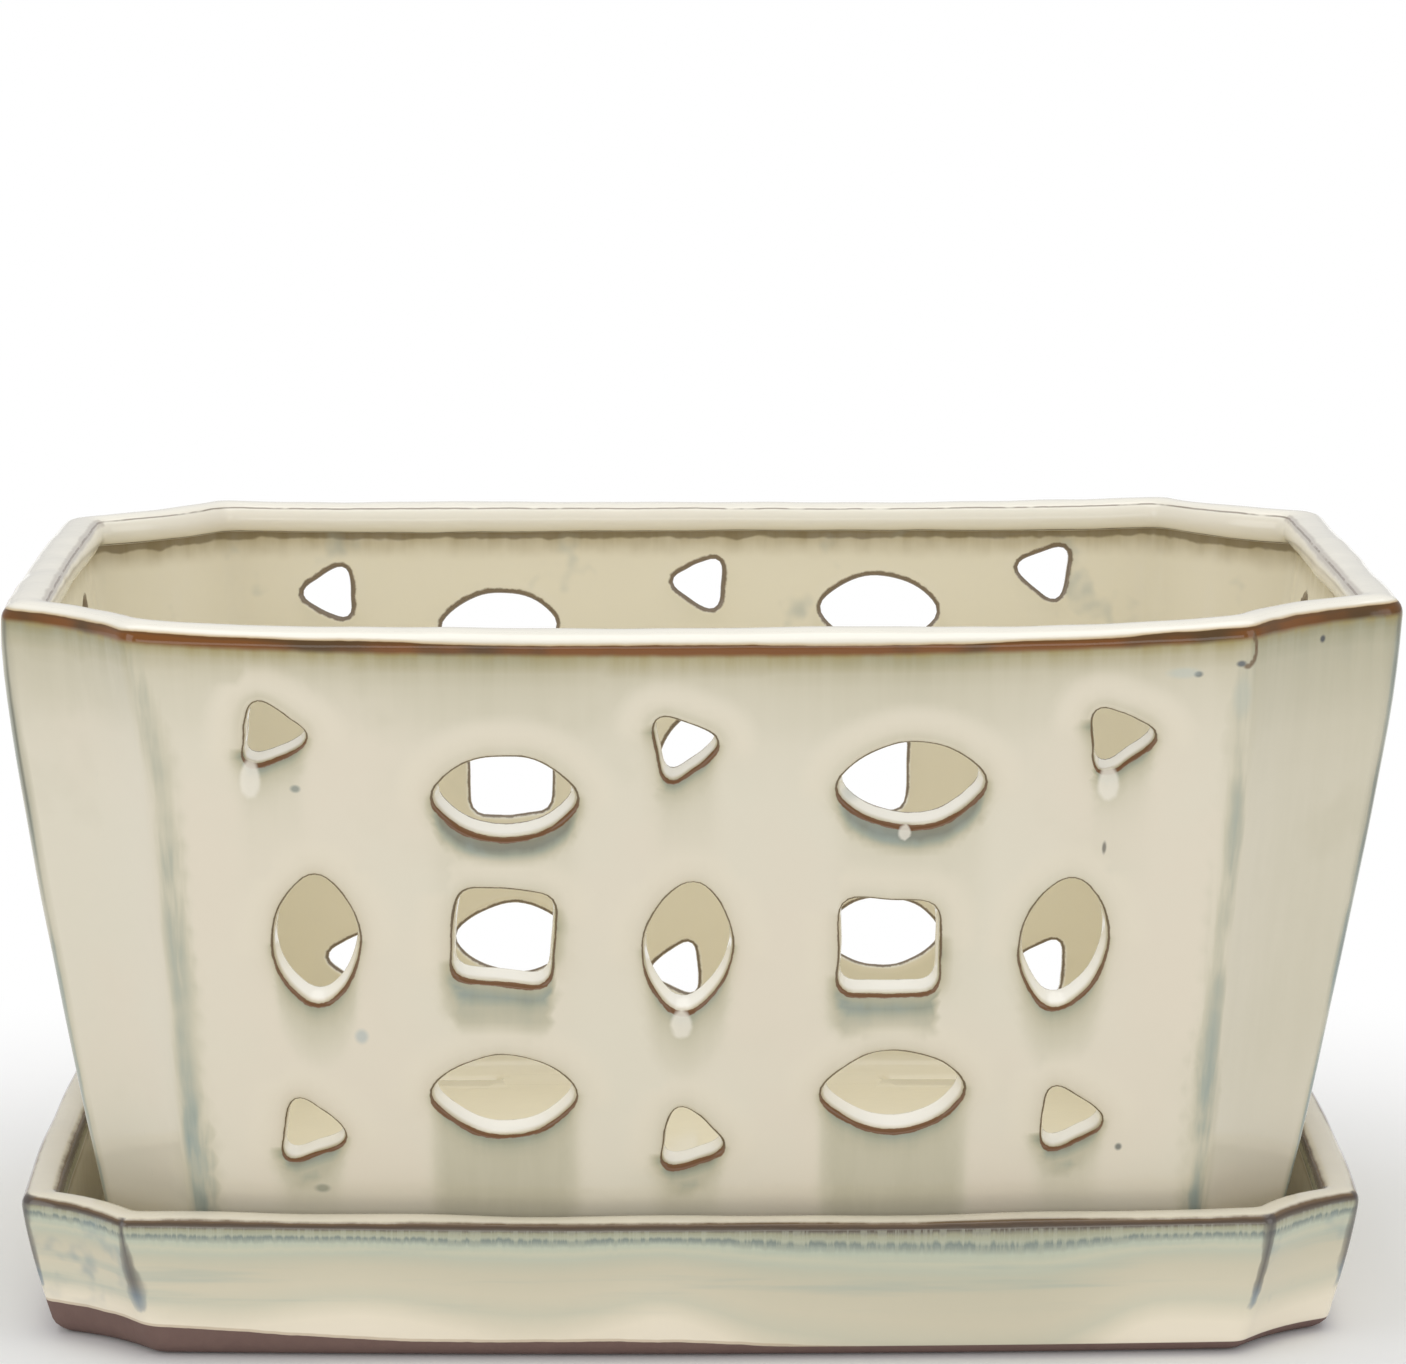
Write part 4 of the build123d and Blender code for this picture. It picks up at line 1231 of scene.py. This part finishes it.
# Floor, light and camera
def add_floor():
    """A white floor: seen by the camera it is plain away from the object, and keeps the shadow near it."""
    mesh = bpy.data.meshes.new("studio_floor")
    r = 12.0
    mesh.from_pydata([(-r, -r, 0), (r, -r, 0), (r, r, 0), (-r, r, 0)], [], [(0, 1, 2, 3)])
    floor = bpy.data.objects.new("studio_floor", mesh)
    bpy.context.scene.collection.objects.link(floor)
    mat, m, shader, out = new_material("studio_floor")
    shader.inputs["Base Color"].default_value = (0.9, 0.9, 0.9, 1.0)
    shader.inputs["Roughness"].default_value = 1.0
    shader.inputs["Specular IOR Level"].default_value = 0.0
    glow = m.add("Emission", {})
    seen = m.add("LightPath", {}, "Is Camera Ray").most(m.add("LightPath", {}, "Is Glossy Ray"))
    away = m.add("VectorMath", {0: m.place((0.6, 1.0, 1.0))}, "Value", operation="LENGTH").ramp(0.08, 0.2)
    mixed = m.add("MixShader", {0: seen * away, 1: Value(m, shader.outputs[0]), 2: glow})
    m.feed(mixed, out.inputs[0])
    mesh.materials.append(mat)


def add_area(name, place, target, size, power):
    data = bpy.data.lights.new(name, "AREA")
    data.shape = "RECTANGLE"
    data.size, data.size_y = size
    data.energy = power
    lamp = bpy.data.objects.new(name, data)
    lamp.location = place
    lamp.rotation_euler = (Vector(target) - Vector(place)).to_track_quat("-Z", "Y").to_euler()
    bpy.context.scene.collection.objects.link(lamp)


add_floor()
add_area("top_softbox", (0.0, 0.1, 1.3), (0.0, 0.0, 0.05), (1.6, 1.0), 7.0)
add_area("left_softbox", (-1.05, -0.8, 0.5), (0.0, 0.0, 0.06), (0.6, 0.9), 2.4)
add_area("right_softbox", (1.05, -0.8, 0.5), (0.0, 0.0, 0.06), (0.6, 0.9), 1.9)
add_area("front_softbox", (0.0, -1.5, 0.42), (0.0, 0.0, 0.06), (1.5, 0.35), 2.6)

# the backdrop is white to the camera and dimmer as a light
BACKDROP_LIGHT = 0.58
world = bpy.data.worlds.new("studio")
world.use_nodes = True
sky = Nodes(world.node_tree)
background = world.node_tree.nodes["Background"]
background.inputs[0].default_value = (1.0, 1.0, 1.0, 1.0)
seen = sky.add("LightPath", {}, "Is Camera Ray").most(sky.add("LightPath", {}, "Is Transmission Ray"))
sky.feed(seen.ramp(0.0, 1.0, BACKDROP_LIGHT, 1.0, "LINEAR"), background.inputs[1])
scene = bpy.context.scene
scene.world = world
scene.view_settings.view_transform = "Standard"

FOCAL_PIXELS, PICTURE_PIXELS = 4571.6, 1406      # fitted to the photo
CAMERA_PITCH, CAMERA_YAW = 0.1888, 0.0097
lens = bpy.data.cameras.new("camera")
lens.sensor_width = 36.0
lens.lens = FOCAL_PIXELS / PICTURE_PIXELS * lens.sensor_width
lens.clip_start = 0.01
camera = bpy.data.objects.new("camera", lens)
camera.location = (-6.58 * MM, -817.53 * MM, 262.29 * MM)
camera.rotation_euler = (math.pi / 2 - CAMERA_PITCH, 0.0, -CAMERA_YAW)
scene.collection.objects.link(camera)
scene.camera = camera
